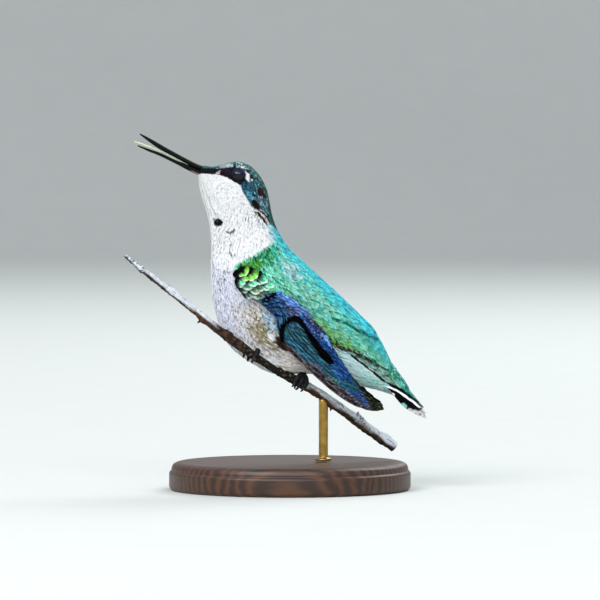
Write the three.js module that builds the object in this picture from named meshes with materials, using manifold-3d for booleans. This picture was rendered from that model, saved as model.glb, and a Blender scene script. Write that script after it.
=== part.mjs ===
// A life-size young male ruby-throated hummingbird (Archilochus colubris), perched on a cut twig that a rod
// holds over a round base. Lengths are in millimetres, +Z is up, the bird faces -X and its left side faces -Y.
// The part's origin is the centre of the base's underside. The bird's own frame starts where it grips the twig.
import * as THREE from "three";
import { mergeVertices } from "three/addons/utils/BufferGeometryUtils.js";
import Module from "manifold-3d";

const wasm = await Module();
wasm.setup();

// ---------------------------------------------------------------- driving dimensions

const GAP = 0.3; // clearance that touching pieces keep
const HAIRS = [0.012, 0.008, 0.005, 0.003, 0.002]; // points closer than these are welded, the widest that works
const LEFT = -1; // the sign of Y on the bird's left side
const RIGHT = 1;

const BASE_RADIUS = 26;
const BASE_HEIGHT = 6;
const PERCH_HEIGHT = 26.2; // the grip on the twig, over the floor
const PERCH_OFFSET = -3.2; // the grip, along X from the base's centre
const ROD_RADIUS = 1;
const ROD_X = 10.4; // the rod, along X from the grip

// The body from the bill's root to the end of the tail coverts. Each station is a cut across it:
// [back x, back z, front x, front z, half width, egg], where egg widens the back's side of the cut.
const BODY = [
  [-15.5, 43.55, -16.5, 41.9, 1.1, 0],
  [-13.1, 43.35, -16.4, 40.2, 2.6, 0.1],
  [-10.5, 44.0, -16.1, 38.1, 4.0, 0.2],
  [-8.0, 44.4, -15.5, 35.9, 5.0, 0.25],
  [-5.4, 43.5, -14.8, 33.8, 5.5, 0.25],
  [-3.2, 41.25, -14.2, 31.4, 5.7, 0.2],
  [-1.8, 38.5, -13.8, 28.8, 5.7, 0.15],
  [-1.1, 35.5, -13.7, 26.2, 5.6, 0.1],
  [-0.5, 32.5, -13.8, 23.6, 5.8, 0.05],
  [0.8, 29.2, -13.8, 20.6, 6.6, 0],
  [3.2, 25.7, -13.7, 17.2, 7.6, 0],
  [6.7, 22.4, -13.1, 13.3, 8.3, 0],
  [10.5, 18.9, -12.0, 9.0, 8.6, 0],
  [14.4, 15.3, -9.9, 4.9, 8.5, -0.05],
  [17.8, 12.0, -5.8, 1.5, 7.9, -0.05],
  [20.9, 9.0, 0.0, -1.3, 6.8, 0],
  [22.8, 5.8, 6.6, -1.2, 5.7, 0.05],
  [24.5, 2.4, 12.2, -2.1, 4.6, 0.1],
  [25.9, -0.8, 18.5, -3.9, 3.6, 0.1],
  [27.0, -3.1, 22.8, -5.0, 2.6, 0.1],
  [27.8, -4.9, 26.0, -6.1, 1.2, 0],
];
const BODY_RINGS = 46;
const BODY_SIDES = 22;

// The thin cuts that part the body: a point on each and the direction across it, in the XZ plane.
const NECK_CUT = { x: -7, z: 33.6, across: [0.02, 1] };
const BREAST_CUT = { x: -6, z: 25.0, across: [-0.28, 0.96] };
const RUMP_CUT = { x: 10, z: 4.9, across: [-0.6, 0.8] };
const TAIL_CUT = { x: 22.3, z: -1.2, across: [-0.78, 0.62] };

const EYE = { x: -7.8, y: 4.1, z: 41.5, radius: 1.6 };
const LID = { radius: 1.72, thickness: 0.3, out: 0.8, up: 0.1, facing: [-0.08, 0.22] };
const MOUTH = { stations: [0.002, 0.03, 0.06], turns: [1.7, 1.45, 1.2], radius: 0.2 }; // on the body's surface

// Each mandible's middle line in the XZ plane from root to tip, with its half height and half width there.
const UPPER_MANDIBLE = [
  [-15.87, 42.98, 0.43, 0.98],
  [-18.1, 43.97, 0.43, 0.82],
  [-21.4, 45.72, 0.42, 0.66],
  [-24.7, 47.42, 0.4, 0.56],
  [-26.9, 48.92, 0.34, 0.45],
  [-29.0, 50.3, 0.16, 0.22],
];
const LOWER_MANDIBLE = [
  [-16.4, 42.0, 0.32, 0.85],
  [-18.1, 42.78, 0.33, 0.72],
  [-21.4, 44.4, 0.34, 0.58],
  [-24.7, 45.95, 0.33, 0.48],
  [-26.9, 46.75, 0.29, 0.4],
  [-29.5, 47.8, 0.14, 0.2],
];
const TONGUE = [
  [-25.6, 47.13, 0.16, 0.24],
  [-28.0, 48.08, 0.2, 0.24],
  [-30.2, 48.7, 0.1, 0.14],
];
const NOSTRIL = { x: -17.6, y: 0.86, z: 43.75, length: 1.3, height: 0.3, depth: 0.3 };
const BILL_SLOPE = Math.atan2(0.47, 0.88);

// The folded wing's own frame: its axis runs from the wrist to the tip, and "up" is across it towards the back.
const WRIST = { x: -7.5, z: 19.4 };
const WING_ALONG = new THREE.Vector2(0.752, -0.659);
const WING_UP = new THREE.Vector2(0.659, 0.752);
const WING_LENGTH = 41.7;
const WING_MIDDLE = [ // distance from the body's middle plane, along the wing
  [-2, 6.4],
  [3, 8.3],
  [12, 9.35],
  [22, 9.0],
  [32, 7.9],
  [42, 6.6],
];
const WING_CURVE = 0.045; // how fast the wing bends in towards its two edges
const WING_EDGES = [ // along, lower edge, upper edge
  [-1.8, 0.2, 2.2],
  [0, -0.9, 3.5],
  [4, -1.6, 4.2],
  [9, -1.7, 4.4],
  [14, -3.9, 4.4],
  [20, -4.3, 3.8],
  [26, -4.9, 2.5],
  [32, -4.8, 0.9],
  [37, -4.0, 0.35],
  [40.4, -2.6, 0.0],
  [41.6, -1.3, -0.6],
];
const WING_BED = 0.95; // how deep the wing lies in the body, from its middle
const PRIMARIES = [41.6, 40.7, 39.0, 36.9, 34.6, 32.1, 29.5, 27.1, 25.0, 23.1]; // tips, from the outermost in
const PRIMARY_ROOT = { along: 4.5, across: 0.2, step: 0.3 };
const SECONDARIES = [21.2, 20.0, 18.8, 17.6, 16.4, 15.2];
const SECONDARY_ROOT = { along: 4, across: 1.2, step: 0.15, lift: 0.3 };
const SECONDARY_TIP = { across: 2.1, step: 0.29, lift: 0.55 };
const FLIGHT_HALF_WIDTH = 1.2;
const FLIGHT_PITCH = [0.75, 0.01]; // from feather to feather, and how much less at each
const SHINGLE = -0.37; // slope of a feather across the wing
const WING_ARM = { along: 4, across: 1.25, out: 0.1, halfLength: 6, halfWidth: 2.1, halfDepth: 0.85 };
// The rows of coverts: how far along the tips are at the row's lower and upper ends, where those ends lie
// across the wing, how many feathers there are, their size, and how high their tips stand.
const COVERT_ROWS = [
  { tips: [11.6, 15.6], across: [-2.2, 3.4], count: 7, length: 6.2, halfWidth: 1.05, lift: 0.85 },
  { tips: [8.4, 10.8], across: [-1.2, 3.4], count: 6, length: 4.8, halfWidth: 1.05, lift: 1.1 },
  { tips: [5.8, 7.4], across: [-0.9, 3.3], count: 5, length: 4.2, halfWidth: 1.1, lift: 1.25 },
  { tips: [3.3, 4.4], across: [-0.7, 3.0], count: 4, length: 3.8, halfWidth: 1.15, lift: 1.25 },
  { tips: [0.9, 1.9], across: [0.1, 2.4], count: 3, length: 2.9, halfWidth: 1.1, lift: 1.05 },
];

const COVERT_FAN = { middle: 1.3, share: 0.35, rise: 0.5, slope: -0.2 }; // how a row draws in towards its roots

// Every feather's outline: the share of its half width along it, and its thickness in millimetres.
const FEATHER_OUTLINE = [
  [0, 0.6],
  [0.25, 0.95],
  [0.6, 1],
  [0.85, 0.88],
  [0.95, 0.62],
  [1, 0.2],
];
const FEATHER_THICKNESS = [
  [0, 0.52],
  [0.8, 0.5],
  [1, 0.26],
];
const CAMBER = 0.1; // how far a feather's shaft stands over its edges

// The tail's own frame: its axis runs from the root of the tail feathers to the longest one's tip.
const TAIL_ROOT = { x: 20.9, z: 3.4 };
const TAIL_ALONG = new THREE.Vector2(0.632, -0.775);
const TAIL_UP = new THREE.Vector2(0.775, 0.632);
const TAIL_ARC = { root: 2.6, tip: 4.3, over: 14 }; // radius of the roof that the closed tail forms
const TAIL_RISE = { root: -0.2, tip: 1.0, over: 9 };
const TAIL_FEATHERS = [ // of each side, from the middle out: tip along, distance from the middle, lift
  [15.6, 0.75, 0],
  [16.6, 1.75, -0.3],
  [17.5, 2.75, -0.6],
  [18.0, 3.7, -0.85],
  [17.2, 4.5, -1.1],
];
const TAIL_HALF_WIDTH = 1.15;
const TAIL_FEATHER_ROOT = { along: 1, spread: 0.75 };
const TAIL_COVERTS = [
  { count: 5, root: 2.2, tip: 9.8, spread: 3.2, lifts: [1.5, 0.35] },
  { count: 4, root: 0.6, tip: 6.8, spread: 2.6, lifts: [1.9, 1.05] },
  { count: 4, root: 4.5, tip: 11.2, spread: 2.2, lifts: [-0.2, 0.3], under: true },
  { count: 3, root: 3.2, tip: 8.6, spread: 1.6, lifts: [-0.1, 0.45], under: true },
];
const TAIL_COVERT = { halfWidth: 1.25, rootSpread: 0.7, bow: 0.1 };
const UNDER_TAIL = [ // the lower edge of the covers under the tail
  [3, -6.6],
  [8.3, -3.7],
  [11.5, -2.3],
];

const TWIG = [ // x, z, radius
  [-31.8, 24.5, 0.35],
  [-28.1, 21.4, 0.6],
  [-24.3, 18.4, 0.68],
  [-17.0, 12.6, 0.78],
  [-12.0, 8.4, 0.92],
  [-7.1, 4.8, 1.05],
  [-2.2, 1.6, 1.12],
  [2.8, -1.6, 1.1],
  [10.3, -6.0, 1.02],
  [16.6, -10.7, 1.08],
  [20.2, -13.4, 1.15],
  [25.8, -17.3, 1.1],
];
const TWIG_SLANT = 0.295; // Y gained for each millimetre of X
const TWIG_Y = -3.5; // Y where X is 0
const TOE_RADIUS = 0.48;
const FOOT_HUB_RADIUS = 0.66;
const LEG_RADII = [0.55, 1.0, 1.45, 1.6]; // from the ankle up
const ANKLE_HEIGHT = 1.1; // over the foot
const LEFT_FOOT_X = 5.1;
const RIGHT_FOOT_X = -4.7;

// ---------------------------------------------------------------- small helpers

const lerp = THREE.MathUtils.lerp;
const MIDDLE_PLANE = new THREE.Vector3(0, 1, 0);

// The value at x of a smooth line through [x, value] pairs.
function along(pairs, x, column = 1) {
  const last = pairs.length - 1;
  let i = 0;
  while (i < last - 1 && x > pairs[i + 1][0]) i += 1;
  const u = THREE.MathUtils.clamp((x - pairs[i][0]) / (pairs[i + 1][0] - pairs[i][0]), 0, 1);
  const [a, b] = [pairs[i][column], pairs[i + 1][column]];
  const slopeAt = (k) => {
    if (k <= 0 || k >= last) return 0;
    return (pairs[k + 1][column] - pairs[k - 1][column]) / (pairs[k + 1][0] - pairs[k - 1][0]);
  };
  const span = pairs[i + 1][0] - pairs[i][0];
  const [ma, mb] = [slopeAt(i) * span, slopeAt(i + 1) * span];
  const [u2, u3] = [u * u, u * u * u];
  return a * (2 * u3 - 3 * u2 + 1) + ma * (u3 - 2 * u2 + u) + b * (3 * u2 - 2 * u3) + mb * (u3 - u2);
}

function geometryOf(points, index) {
  const geometry = new THREE.BufferGeometry().setFromPoints(points);
  geometry.setIndex(index);
  return geometry;
}

// Turns a closed geometry into a solid, with its faces pointing out.
function solid(geometry) {
  const bare = geometry.clone();
  bare.deleteAttribute("normal");
  bare.deleteAttribute("uv");
  const merged = mergeVertices(bare, 1e-4);
  const make = (triVerts) =>
    new wasm.Manifold(
      new wasm.Mesh({ numProp: 3, vertProperties: merged.attributes.position.array, triVerts }),
    );
  const triangles = new Uint32Array(merged.index.array);
  const made = make(triangles);
  if (made.volume() > 0) return made;
  for (let i = 0; i < triangles.length; i += 3) {
    [triangles[i], triangles[i + 1]] = [triangles[i + 1], triangles[i]];
  }
  return make(triangles);
}

const join = (solids) => solids.reduce((whole, piece) => whole.add(piece));
const cut = (whole, cutters) => cutters.reduce((left, cutter) => left.subtract(cutter), whole);
const volumeOrder = (a, b) => b.volume() - a.volume();
const largest = (whole) => whole.decompose().sort(volumeOrder)[0];

// Closes a row of rings, each with the same number of points, into one body.
function loft(rings) {
  const sides = rings[0].length;
  const points = rings.flat();
  const index = [];
  for (let i = 0; i + 1 < rings.length; i += 1) {
    for (let k = 0; k < sides; k += 1) {
      const a = i * sides + k;
      const b = i * sides + ((k + 1) % sides);
      index.push(a, b, b + sides, a, b + sides, a + sides);
    }
  }
  [0, rings.length - 1].forEach((end) => {
    const centre = new THREE.Vector3();
    rings[end].forEach((point) => centre.addScaledVector(point, 1 / sides));
    points.push(centre);
    for (let k = 0; k < sides; k += 1) {
      const a = end * sides + k;
      const b = end * sides + ((k + 1) % sides);
      if (end === 0) index.push(points.length - 1, b, a);
      else index.push(points.length - 1, a, b);
    }
  });
  return geometryOf(points, index);
}

// A round or flat rod through points, with a half height and a half width at each.
function rod(path, sizes, sides, steps, heightAxis) {
  const curve = new THREE.CatmullRomCurve3(path, false, "centripetal");
  const sizeCurve = new THREE.CatmullRomCurve3(
    sizes.map(([h, w]) => new THREE.Vector3(h, w, 0)),
    false,
    "centripetal",
  );
  const rings = [];
  for (let i = 0; i <= steps; i += 1) {
    const u = i / steps;
    const middle = curve.getPoint(u);
    const forward = curve.getTangent(u);
    const side = new THREE.Vector3().crossVectors(forward, heightAxis).normalize();
    const up = new THREE.Vector3().crossVectors(side, forward).normalize();
    const size = sizeCurve.getPoint(u);
    rings.push(
      Array.from({ length: sides }, (_, k) => {
        const turn = (2 * Math.PI * k) / sides;
        return middle
          .clone()
          .addScaledVector(up, size.x * Math.cos(turn))
          .addScaledVector(side, size.y * Math.sin(turn));
      }),
    );
  }
  return loft(rings);
}

// A closed sheet over a grid: outer(i, j) and inner(i, j) give its two faces, split into triangles alike.
function sheet(rows, columns, outer, inner) {
  const points = [];
  [outer, inner].forEach((face) => {
    for (let i = 0; i <= rows; i += 1) {
      for (let j = 0; j <= columns; j += 1) points.push(face(i, j));
    }
  });
  const layer = (rows + 1) * (columns + 1);
  const at = (i, j) => i * (columns + 1) + j;
  const index = [];
  const wall = (a, b) => index.push(a, b, b + layer, a, b + layer, a + layer);
  for (let i = 0; i < rows; i += 1) {
    for (let j = 0; j < columns; j += 1) {
      const corners = [at(i, j), at(i + 1, j), at(i + 1, j + 1), at(i, j + 1)];
      const [a, b, c, d] = corners;
      index.push(a, b, c, a, c, d);
      index.push(a + layer, c + layer, b + layer, a + layer, d + layer, c + layer);
    }
  }
  for (let i = 0; i < rows; i += 1) {
    wall(at(i + 1, 0), at(i, 0));
    wall(at(i, columns), at(i + 1, columns));
  }
  for (let j = 0; j < columns; j += 1) {
    wall(at(0, j), at(0, j + 1));
    wall(at(rows, j + 1), at(rows, j));
  }
  return geometryOf(points, index);
}

const inPlane = (x, z, y = 0) => new THREE.Vector3(x, y, z);

// One feather: a thin blade along centre(f), with f from 0 at its root to 1 at its tip. place(s, t, n) maps the
// wing's or tail's own frame to the bird's, lift(f) is the blade's height and slope its tilt across.
function vane(place, { centre, halfWidth, lift, slope = 0, rows = 6, columns = 2 }) {
  const at = (i, j, face) => {
    const f = 1 - (1 - i / rows) ** 1.25;
    const [s, t] = centre(f);
    const [nearS, nearT] = centre(f - 0.02);
    const step = Math.hypot(s - nearS, t - nearT);
    const reach = ((2 * j) / columns - 1) * halfWidth * along(FEATHER_OUTLINE, f);
    const shaft = 2 * j === columns ? CAMBER : 0;
    const height = lift(f) + slope * reach + shaft + (face * along(FEATHER_THICKNESS, f)) / 2;
    return place(s - (reach * (t - nearT)) / step, t + (reach * (s - nearS)) / step, height);
  };
  return solid(sheet(rows, columns, (i, j) => at(i, j, 1), (i, j) => at(i, j, -1)));
}

// ---------------------------------------------------------------- the body

const backLine = new THREE.CatmullRomCurve3(BODY.map(([x, z]) => inPlane(x, z)), false, "centripetal");
const frontLine = new THREE.CatmullRomCurve3(BODY.map(([, , x, z]) => inPlane(x, z)), false, "centripetal");
const fullness = new THREE.CatmullRomCurve3(BODY.map(([, , , , w, egg]) => new THREE.Vector3(w, egg, 0)));

// The point of the body's surface at station u (0 to 1) and turn (0 at the back, half a turn at the front).
function bodySurface(u, turn, side = RIGHT) {
  const back = backLine.getPoint(u);
  const front = frontLine.getPoint(u);
  const size = fullness.getPoint(u);
  const middle = back.clone().add(front).multiplyScalar(0.5);
  const half = back.clone().sub(front).multiplyScalar(0.5);
  const reach = size.x * Math.sin(turn) * (1 + size.y * Math.cos(turn));
  return middle.addScaledVector(half, Math.cos(turn)).addScaledVector(MIDDLE_PLANE, side * reach);
}

function bodySolid() {
  const rings = [];
  for (let i = 0; i <= BODY_RINGS; i += 1) {
    const ring = [];
    for (let k = 0; k < BODY_SIDES; k += 1) ring.push(bodySurface(i / BODY_RINGS, (2 * Math.PI * k) / BODY_SIDES));
    rings.push(ring);
  }
  return solid(loft(rings));
}

// A block on a cut's plane, between two distances across it.
function cutBlock({ x, z, across }, from, to) {
  const box = new THREE.BoxGeometry(80, 40, to - from);
  box.translate(0, 0, (from + to) / 2);
  box.rotateY(Math.atan2(across[0], across[1]));
  box.translate(x, 0, z);
  return solid(box);
}

// ---------------------------------------------------------------- eyes, lids and bill

function eyeSphere(side, radius) {
  const ball = new THREE.SphereGeometry(radius, 14, 9);
  ball.translate(EYE.x, side * EYE.y, EYE.z);
  return ball;
}

function lidRing(side) {
  const ring = new THREE.TorusGeometry(LID.radius, LID.thickness, 6, 18);
  const outward = new THREE.Vector3(LID.facing[0], side, LID.facing[1]).normalize();
  const place = new THREE.Quaternion().setFromUnitVectors(new THREE.Vector3(0, 0, 1), outward);
  ring.applyQuaternion(place);
  ring.translate(EYE.x, side * (EYE.y + LID.out), EYE.z + LID.up);
  return solid(ring);
}

function mandible(line, sides = 10, steps = 14, grow = 0) {
  return rod(
    line.map(([x, z]) => inPlane(x, z)),
    line.map(([, , height, width]) => [height + grow, width + grow]),
    sides,
    steps,
    new THREE.Vector3(0, 0, 1),
  );
}

function nostrilCutter(side) {
  const slit = new THREE.SphereGeometry(1, 10, 8);
  slit.scale(NOSTRIL.length / 2, NOSTRIL.depth, NOSTRIL.height / 2);
  slit.rotateY(BILL_SLOPE);
  slit.translate(NOSTRIL.x, side * NOSTRIL.y, NOSTRIL.z);
  return solid(slit);
}

// The line of the mouth runs on from the bill's root below the lores.
function mouthCutter(side) {
  const path = MOUTH.stations.map((u, i) => bodySurface(u, MOUTH.turns[i], side));
  return solid(rod(path, path.map(() => [MOUTH.radius, MOUTH.radius]), 6, 6, new THREE.Vector3(0, 0, 1)));
}

// ---------------------------------------------------------------- wings

// A point of the folded wing: s along it from the wrist, t across it towards the back, n out from the body.
function wingPlace(side) {
  return (s, t, n) => {
    const out = along(WING_MIDDLE, s) - WING_CURVE * (t - 0.6) ** 2 + n;
    const x = WRIST.x + s * WING_ALONG.x + t * WING_UP.x;
    const z = WRIST.z + s * WING_ALONG.y + t * WING_UP.y;
    return new THREE.Vector3(x, side * out, z);
  };
}

// The bed that the body keeps free for the wing, from its own depth out past the wing's face.
function wingBed(side) {
  const place = wingPlace(side);
  const [rows, columns, clear] = [16, 4, 5];
  const at = (i, j, height) => {
    const s = lerp(WING_EDGES[0][0] - GAP, WING_LENGTH + GAP, i / rows);
    const low = along(WING_EDGES, s, 1) - GAP;
    const high = along(WING_EDGES, s, 2) + GAP;
    return place(s, lerp(low, high, j / columns), height);
  };
  return solid(sheet(rows, columns, (i, j) => at(i, j, clear), (i, j) => at(i, j, -WING_BED - GAP)));
}

// The arm that the coverts grow from.
function wingArm(place) {
  const { halfLength, halfWidth, halfDepth } = WING_ARM;
  const arm = new THREE.SphereGeometry(1, 10, 7);
  const corners = arm.attributes.position;
  for (let i = 0; i < corners.count; i += 1) {
    const at = place(
      WING_ARM.along + halfLength * corners.getX(i),
      WING_ARM.across + halfWidth * corners.getY(i),
      WING_ARM.out + halfDepth * corners.getZ(i),
    );
    corners.setXYZ(i, at.x, at.y, at.z);
  }
  return solid(arm);
}

// The outer flight feathers lie side by side from the lower edge up, and each dips under the one above it.
function primary(place, tip, order) {
  const shift = PRIMARY_ROOT.step * order;
  const pitch = FLIGHT_PITCH[0] - FLIGHT_PITCH[1] * order;
  const centre = (f) => {
    const s = lerp(PRIMARY_ROOT.along + shift, tip, f);
    const lowest = along(WING_EDGES, s, 1) + FLIGHT_HALF_WIDTH;
    const highest = along(WING_EDGES, s, 2) - FLIGHT_HALF_WIDTH * along(FEATHER_OUTLINE, f);
    const spread = Math.min(lowest + order * pitch, highest);
    return [s, lerp(PRIMARY_ROOT.across + shift, spread, THREE.MathUtils.smoothstep(f, -0.1, 0.27))];
  };
  return vane(place, { centre, halfWidth: FLIGHT_HALF_WIDTH, lift: () => 0, slope: SHINGLE, rows: 7 });
}

function secondary(place, tip, order) {
  const rootAcross = SECONDARY_ROOT.across + SECONDARY_ROOT.step * order;
  const tipAcross = SECONDARY_TIP.across + SECONDARY_TIP.step * order;
  const centre = (f) => [lerp(SECONDARY_ROOT.along, tip, f), lerp(rootAcross, tipAcross, f)];
  const lift = (f) => lerp(SECONDARY_ROOT.lift, SECONDARY_TIP.lift, f);
  return vane(place, { centre, halfWidth: FLIGHT_HALF_WIDTH, lift, slope: SHINGLE, rows: 4 });
}

function coverts(place, { tips, across, count, length, halfWidth, lift }) {
  return Array.from({ length: count }, (_, i) => {
    const share = i / (count - 1);
    const tip = lerp(tips[0], tips[1], share);
    const height = lerp(across[0], across[1], share);
    const root = lerp(height, COVERT_FAN.middle, COVERT_FAN.share);
    const centre = (f) => [lerp(tip - length, tip, f), lerp(root, height, f)];
    const rise = (f) => lift - COVERT_FAN.rise * (1 - f);
    return vane(place, { centre, halfWidth, lift: rise, slope: COVERT_FAN.slope, rows: 3, columns: 1 });
  });
}

function wingSolid(side) {
  const place = wingPlace(side);
  return largest(
    join([
      wingArm(place),
      ...PRIMARIES.map((tip, order) => primary(place, tip, order)),
      ...SECONDARIES.map((tip, order) => secondary(place, tip, order)),
      ...COVERT_ROWS.flatMap((row) => coverts(place, row)),
    ]),
  );
}

// ---------------------------------------------------------------- tail

// A point of the tail: s along it, a across it round its roof and n over it.
function tailPlace(s, a, n) {
  const arc = lerp(TAIL_ARC.root, TAIL_ARC.tip, Math.min(s / TAIL_ARC.over, 1.1));
  const turn = a / TAIL_ARC.tip;
  const top = lerp(TAIL_RISE.root, TAIL_RISE.tip, Math.min(s / TAIL_RISE.over, 1));
  const t = top + (arc + n) * Math.cos(turn) - arc;
  const x = TAIL_ROOT.x + s * TAIL_ALONG.x + t * TAIL_UP.x;
  const z = TAIL_ROOT.z + s * TAIL_ALONG.y + t * TAIL_UP.y;
  return new THREE.Vector3(x, (arc + n) * Math.sin(turn), z);
}

// A point of the covers under the tail, whose lower edge is UNDER_TAIL where n is half a feather's thickness.
function underTailPlace(s, a, n) {
  const t = along(UNDER_TAIL, s) + TAIL_COVERT.bow * a * a - n + FEATHER_THICKNESS[1][1] / 2;
  const x = TAIL_ROOT.x + s * TAIL_ALONG.x + t * TAIL_UP.x;
  const z = TAIL_ROOT.z + s * TAIL_ALONG.y + t * TAIL_UP.y;
  return new THREE.Vector3(x, a, z);
}

function tailFeathers() {
  const feathers = [RIGHT, LEFT].flatMap((side) =>
    TAIL_FEATHERS.map(([tip, across, lift]) => {
      const root = TAIL_FEATHER_ROOT;
      const centre = (f) => [lerp(root.along, tip, f), side * across * lerp(root.spread, 1, f)];
      const shape = { centre, halfWidth: TAIL_HALF_WIDTH, lift: () => lift, rows: 5, columns: 1 };
      return vane(tailPlace, shape);
    }),
  );
  const tiers = TAIL_COVERTS.flatMap(({ count, root, tip, spread, lifts, under }) =>
    Array.from({ length: count }, (_, i) => {
      const across = lerp(-spread, spread, i / (count - 1));
      const end = tip - TAIL_COVERT.bow * across ** 2;
      const centre = (f) => [lerp(root, end, f), across * lerp(TAIL_COVERT.rootSpread, 1, f)];
      const lift = (f) => lerp(lifts[0], lifts[1], f);
      const place = under ? underTailPlace : tailPlace;
      return vane(place, { centre, halfWidth: TAIL_COVERT.halfWidth, lift, rows: 3, columns: 1 });
    }),
  );
  return [...feathers, ...tiers];
}

// ---------------------------------------------------------------- twig, legs and feet

const twigPoint = ([x, z]) => inPlane(x, z, TWIG_Y + TWIG_SLANT * x);

function twigSolid(grow = 0) {
  return solid(
    rod(TWIG.map(twigPoint), TWIG.map(([, , r]) => [r + grow, r + grow]), 10, 30, new THREE.Vector3(0, 0, 1)),
  );
}

// Where the twig passes x, with its direction, its upward side and its radius there.
function twigAt(x) {
  const curve = new THREE.CatmullRomCurve3(TWIG.map(twigPoint), false, "centripetal");
  let [low, high] = [0, 1];
  for (let i = 0; i < 40; i += 1) {
    const middle = (low + high) / 2;
    if (curve.getPoint(middle).x < x) low = middle;
    else high = middle;
  }
  const point = curve.getPoint(low);
  const forward = curve.getTangent(low);
  const up = new THREE.Vector3(0, 0, 1).addScaledVector(forward, -forward.z).normalize();
  const radius = along(TWIG.map(([px, , r]) => [px, r]), x);
  return { point, forward, up, radius };
}

// A foot gripping the twig: three toes over the outer side, one over the inner side, each with its claw.
function footSolid(side, x, grow = 0) {
  const { point, forward, up, radius } = twigAt(x);
  const outward = new THREE.Vector3().crossVectors(forward, up);
  if (outward.y * side < 0) outward.negate();
  const reach = radius + GAP + TOE_RADIUS;
  const around = (turn, offset, away = 0) =>
    point
      .clone()
      .addScaledVector(forward, offset)
      .addScaledVector(up, (reach + away) * Math.cos(turn))
      .addScaledVector(outward, (reach + away) * Math.sin(turn));
  const digits = [
    { spread: -1.15, way: 1, end: 2.0 },
    { spread: 0, way: 1, end: 2.2 },
    { spread: 1.1, way: 1, end: 2.0 },
    { spread: 0.2, way: -1, end: 1.9 },
  ];
  const toes = digits.map(({ spread, way, end }) => {
    const turns = [0.05, 0.3 * end, 0.65 * end, end, end + 0.35, end + 0.75];
    const path = turns.map((turn, i) => around(way * turn, spread * Math.min(1, i / 2), i > 3 ? 0.16 * (i - 3) : 0));
    const sizes = [1, 1, 0.92, 0.84, 0.6, 0.22].map((share) => {
      const size = TOE_RADIUS * share + grow;
      return [size, size];
    });
    return solid(rod(path, sizes, grow > 0 ? 5 : 6, grow > 0 ? 5 : 9, forward));
  });
  const hub = new THREE.SphereGeometry(FOOT_HUB_RADIUS + grow, 10, 6);
  const centre = around(0, 0, 0.1);
  hub.translate(centre.x, centre.y, centre.z);
  return join([solid(hub), ...toes]);
}

// The short feathered leg, from the foot up into the belly.
function legSolid(side, x, grow = 0) {
  const { point, up, radius } = twigAt(x);
  const ankle = point.clone().addScaledVector(up, radius + GAP + TOE_RADIUS + ANKLE_HEIGHT - grow);
  const lean = new THREE.Vector3(0.3, side * 0.35, 1).normalize();
  const path = [0, 0.9, 1.9, 2.9 + grow].map((step) => ankle.clone().addScaledVector(lean, step));
  const sizes = LEG_RADII.map((size) => [size + grow, size + grow]);
  return solid(rod(path, sizes, 9, 5, new THREE.Vector3(1, 0, 0)));
}

// ---------------------------------------------------------------- assembly of the solids

const wings = { left: wingSolid(LEFT), right: wingSolid(RIGHT) };
const feet = { left: footSolid(LEFT, LEFT_FOOT_X), right: footSolid(RIGHT, RIGHT_FOOT_X) };
const legs = { left: legSolid(LEFT, LEFT_FOOT_X), right: legSolid(RIGHT, RIGHT_FOOT_X) };
const twig = twigSolid();

const cleared = cut(bodySolid(), [
  wingBed(LEFT),
  wingBed(RIGHT),
  twigSolid(GAP),
  footSolid(LEFT, LEFT_FOOT_X, GAP),
  footSolid(RIGHT, RIGHT_FOOT_X, GAP),
  legSolid(LEFT, LEFT_FOOT_X, GAP),
  legSolid(RIGHT, RIGHT_FOOT_X, GAP),
]);
const cutPlanes = [NECK_CUT, BREAST_CUT, RUMP_CUT, TAIL_CUT];
const parted = cut(cleared, cutPlanes.map((plane) => cutBlock(plane, -GAP / 2, GAP / 2)));
const bodyPieces = parted
  .decompose()
  .sort(volumeOrder)
  .slice(0, 5)
  .sort((a, b) => b.boundingBox().max[2] - a.boundingBox().max[2]);
const [headCore, neck, torso, rump, tailCore] = bodyPieces;

const head = largest(
  cut(join([headCore, lidRing(LEFT), lidRing(RIGHT)]), [
    solid(eyeSphere(LEFT, EYE.radius + GAP)),
    solid(eyeSphere(RIGHT, EYE.radius + GAP)),
    mouthCutter(LEFT),
    mouthCutter(RIGHT),
    solid(mandible(UPPER_MANDIBLE, 10, 14, GAP)),
    solid(mandible(LOWER_MANDIBLE, 10, 14, GAP)),
  ]),
);
const upperMandible = largest(
  cut(solid(mandible(UPPER_MANDIBLE)), [nostrilCutter(LEFT), nostrilCutter(RIGHT)]),
);
const tail = largest(cut(join([tailCore, ...tailFeathers()]), [cutBlock(TAIL_CUT, -GAP / 2, 30)]));

// ---------------------------------------------------------------- the scene graph

const plumage = (color, roughness = 0.75) => new THREE.MeshStandardMaterial({ color, roughness, metalness: 0 });
const materials = {
  throat: plumage(0xf2f4f6),
  crown: plumage(0x2f5560),
  back: plumage(0x27a58c, 0.5),
  flight: plumage(0x1d3f63, 0.6),
  tail: plumage(0x2a8f80, 0.6),
  bill: plumage(0x101214, 0.35),
  tongue: plumage(0xcfe3b0, 0.4),
  eye: plumage(0x05060a, 0.08),
  foot: plumage(0x17120f, 0.6),
  bark: plumage(0x6f675b, 0.9),
  wood: plumage(0x6b4a2e, 0.55),
  brass: new THREE.MeshStandardMaterial({ color: 0xb08d4a, roughness: 0.35, metalness: 1 }),
};

function node(name, geometry, material) {
  const mesh = new THREE.Mesh(geometry, material);
  mesh.name = name;
  return mesh;
}

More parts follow.
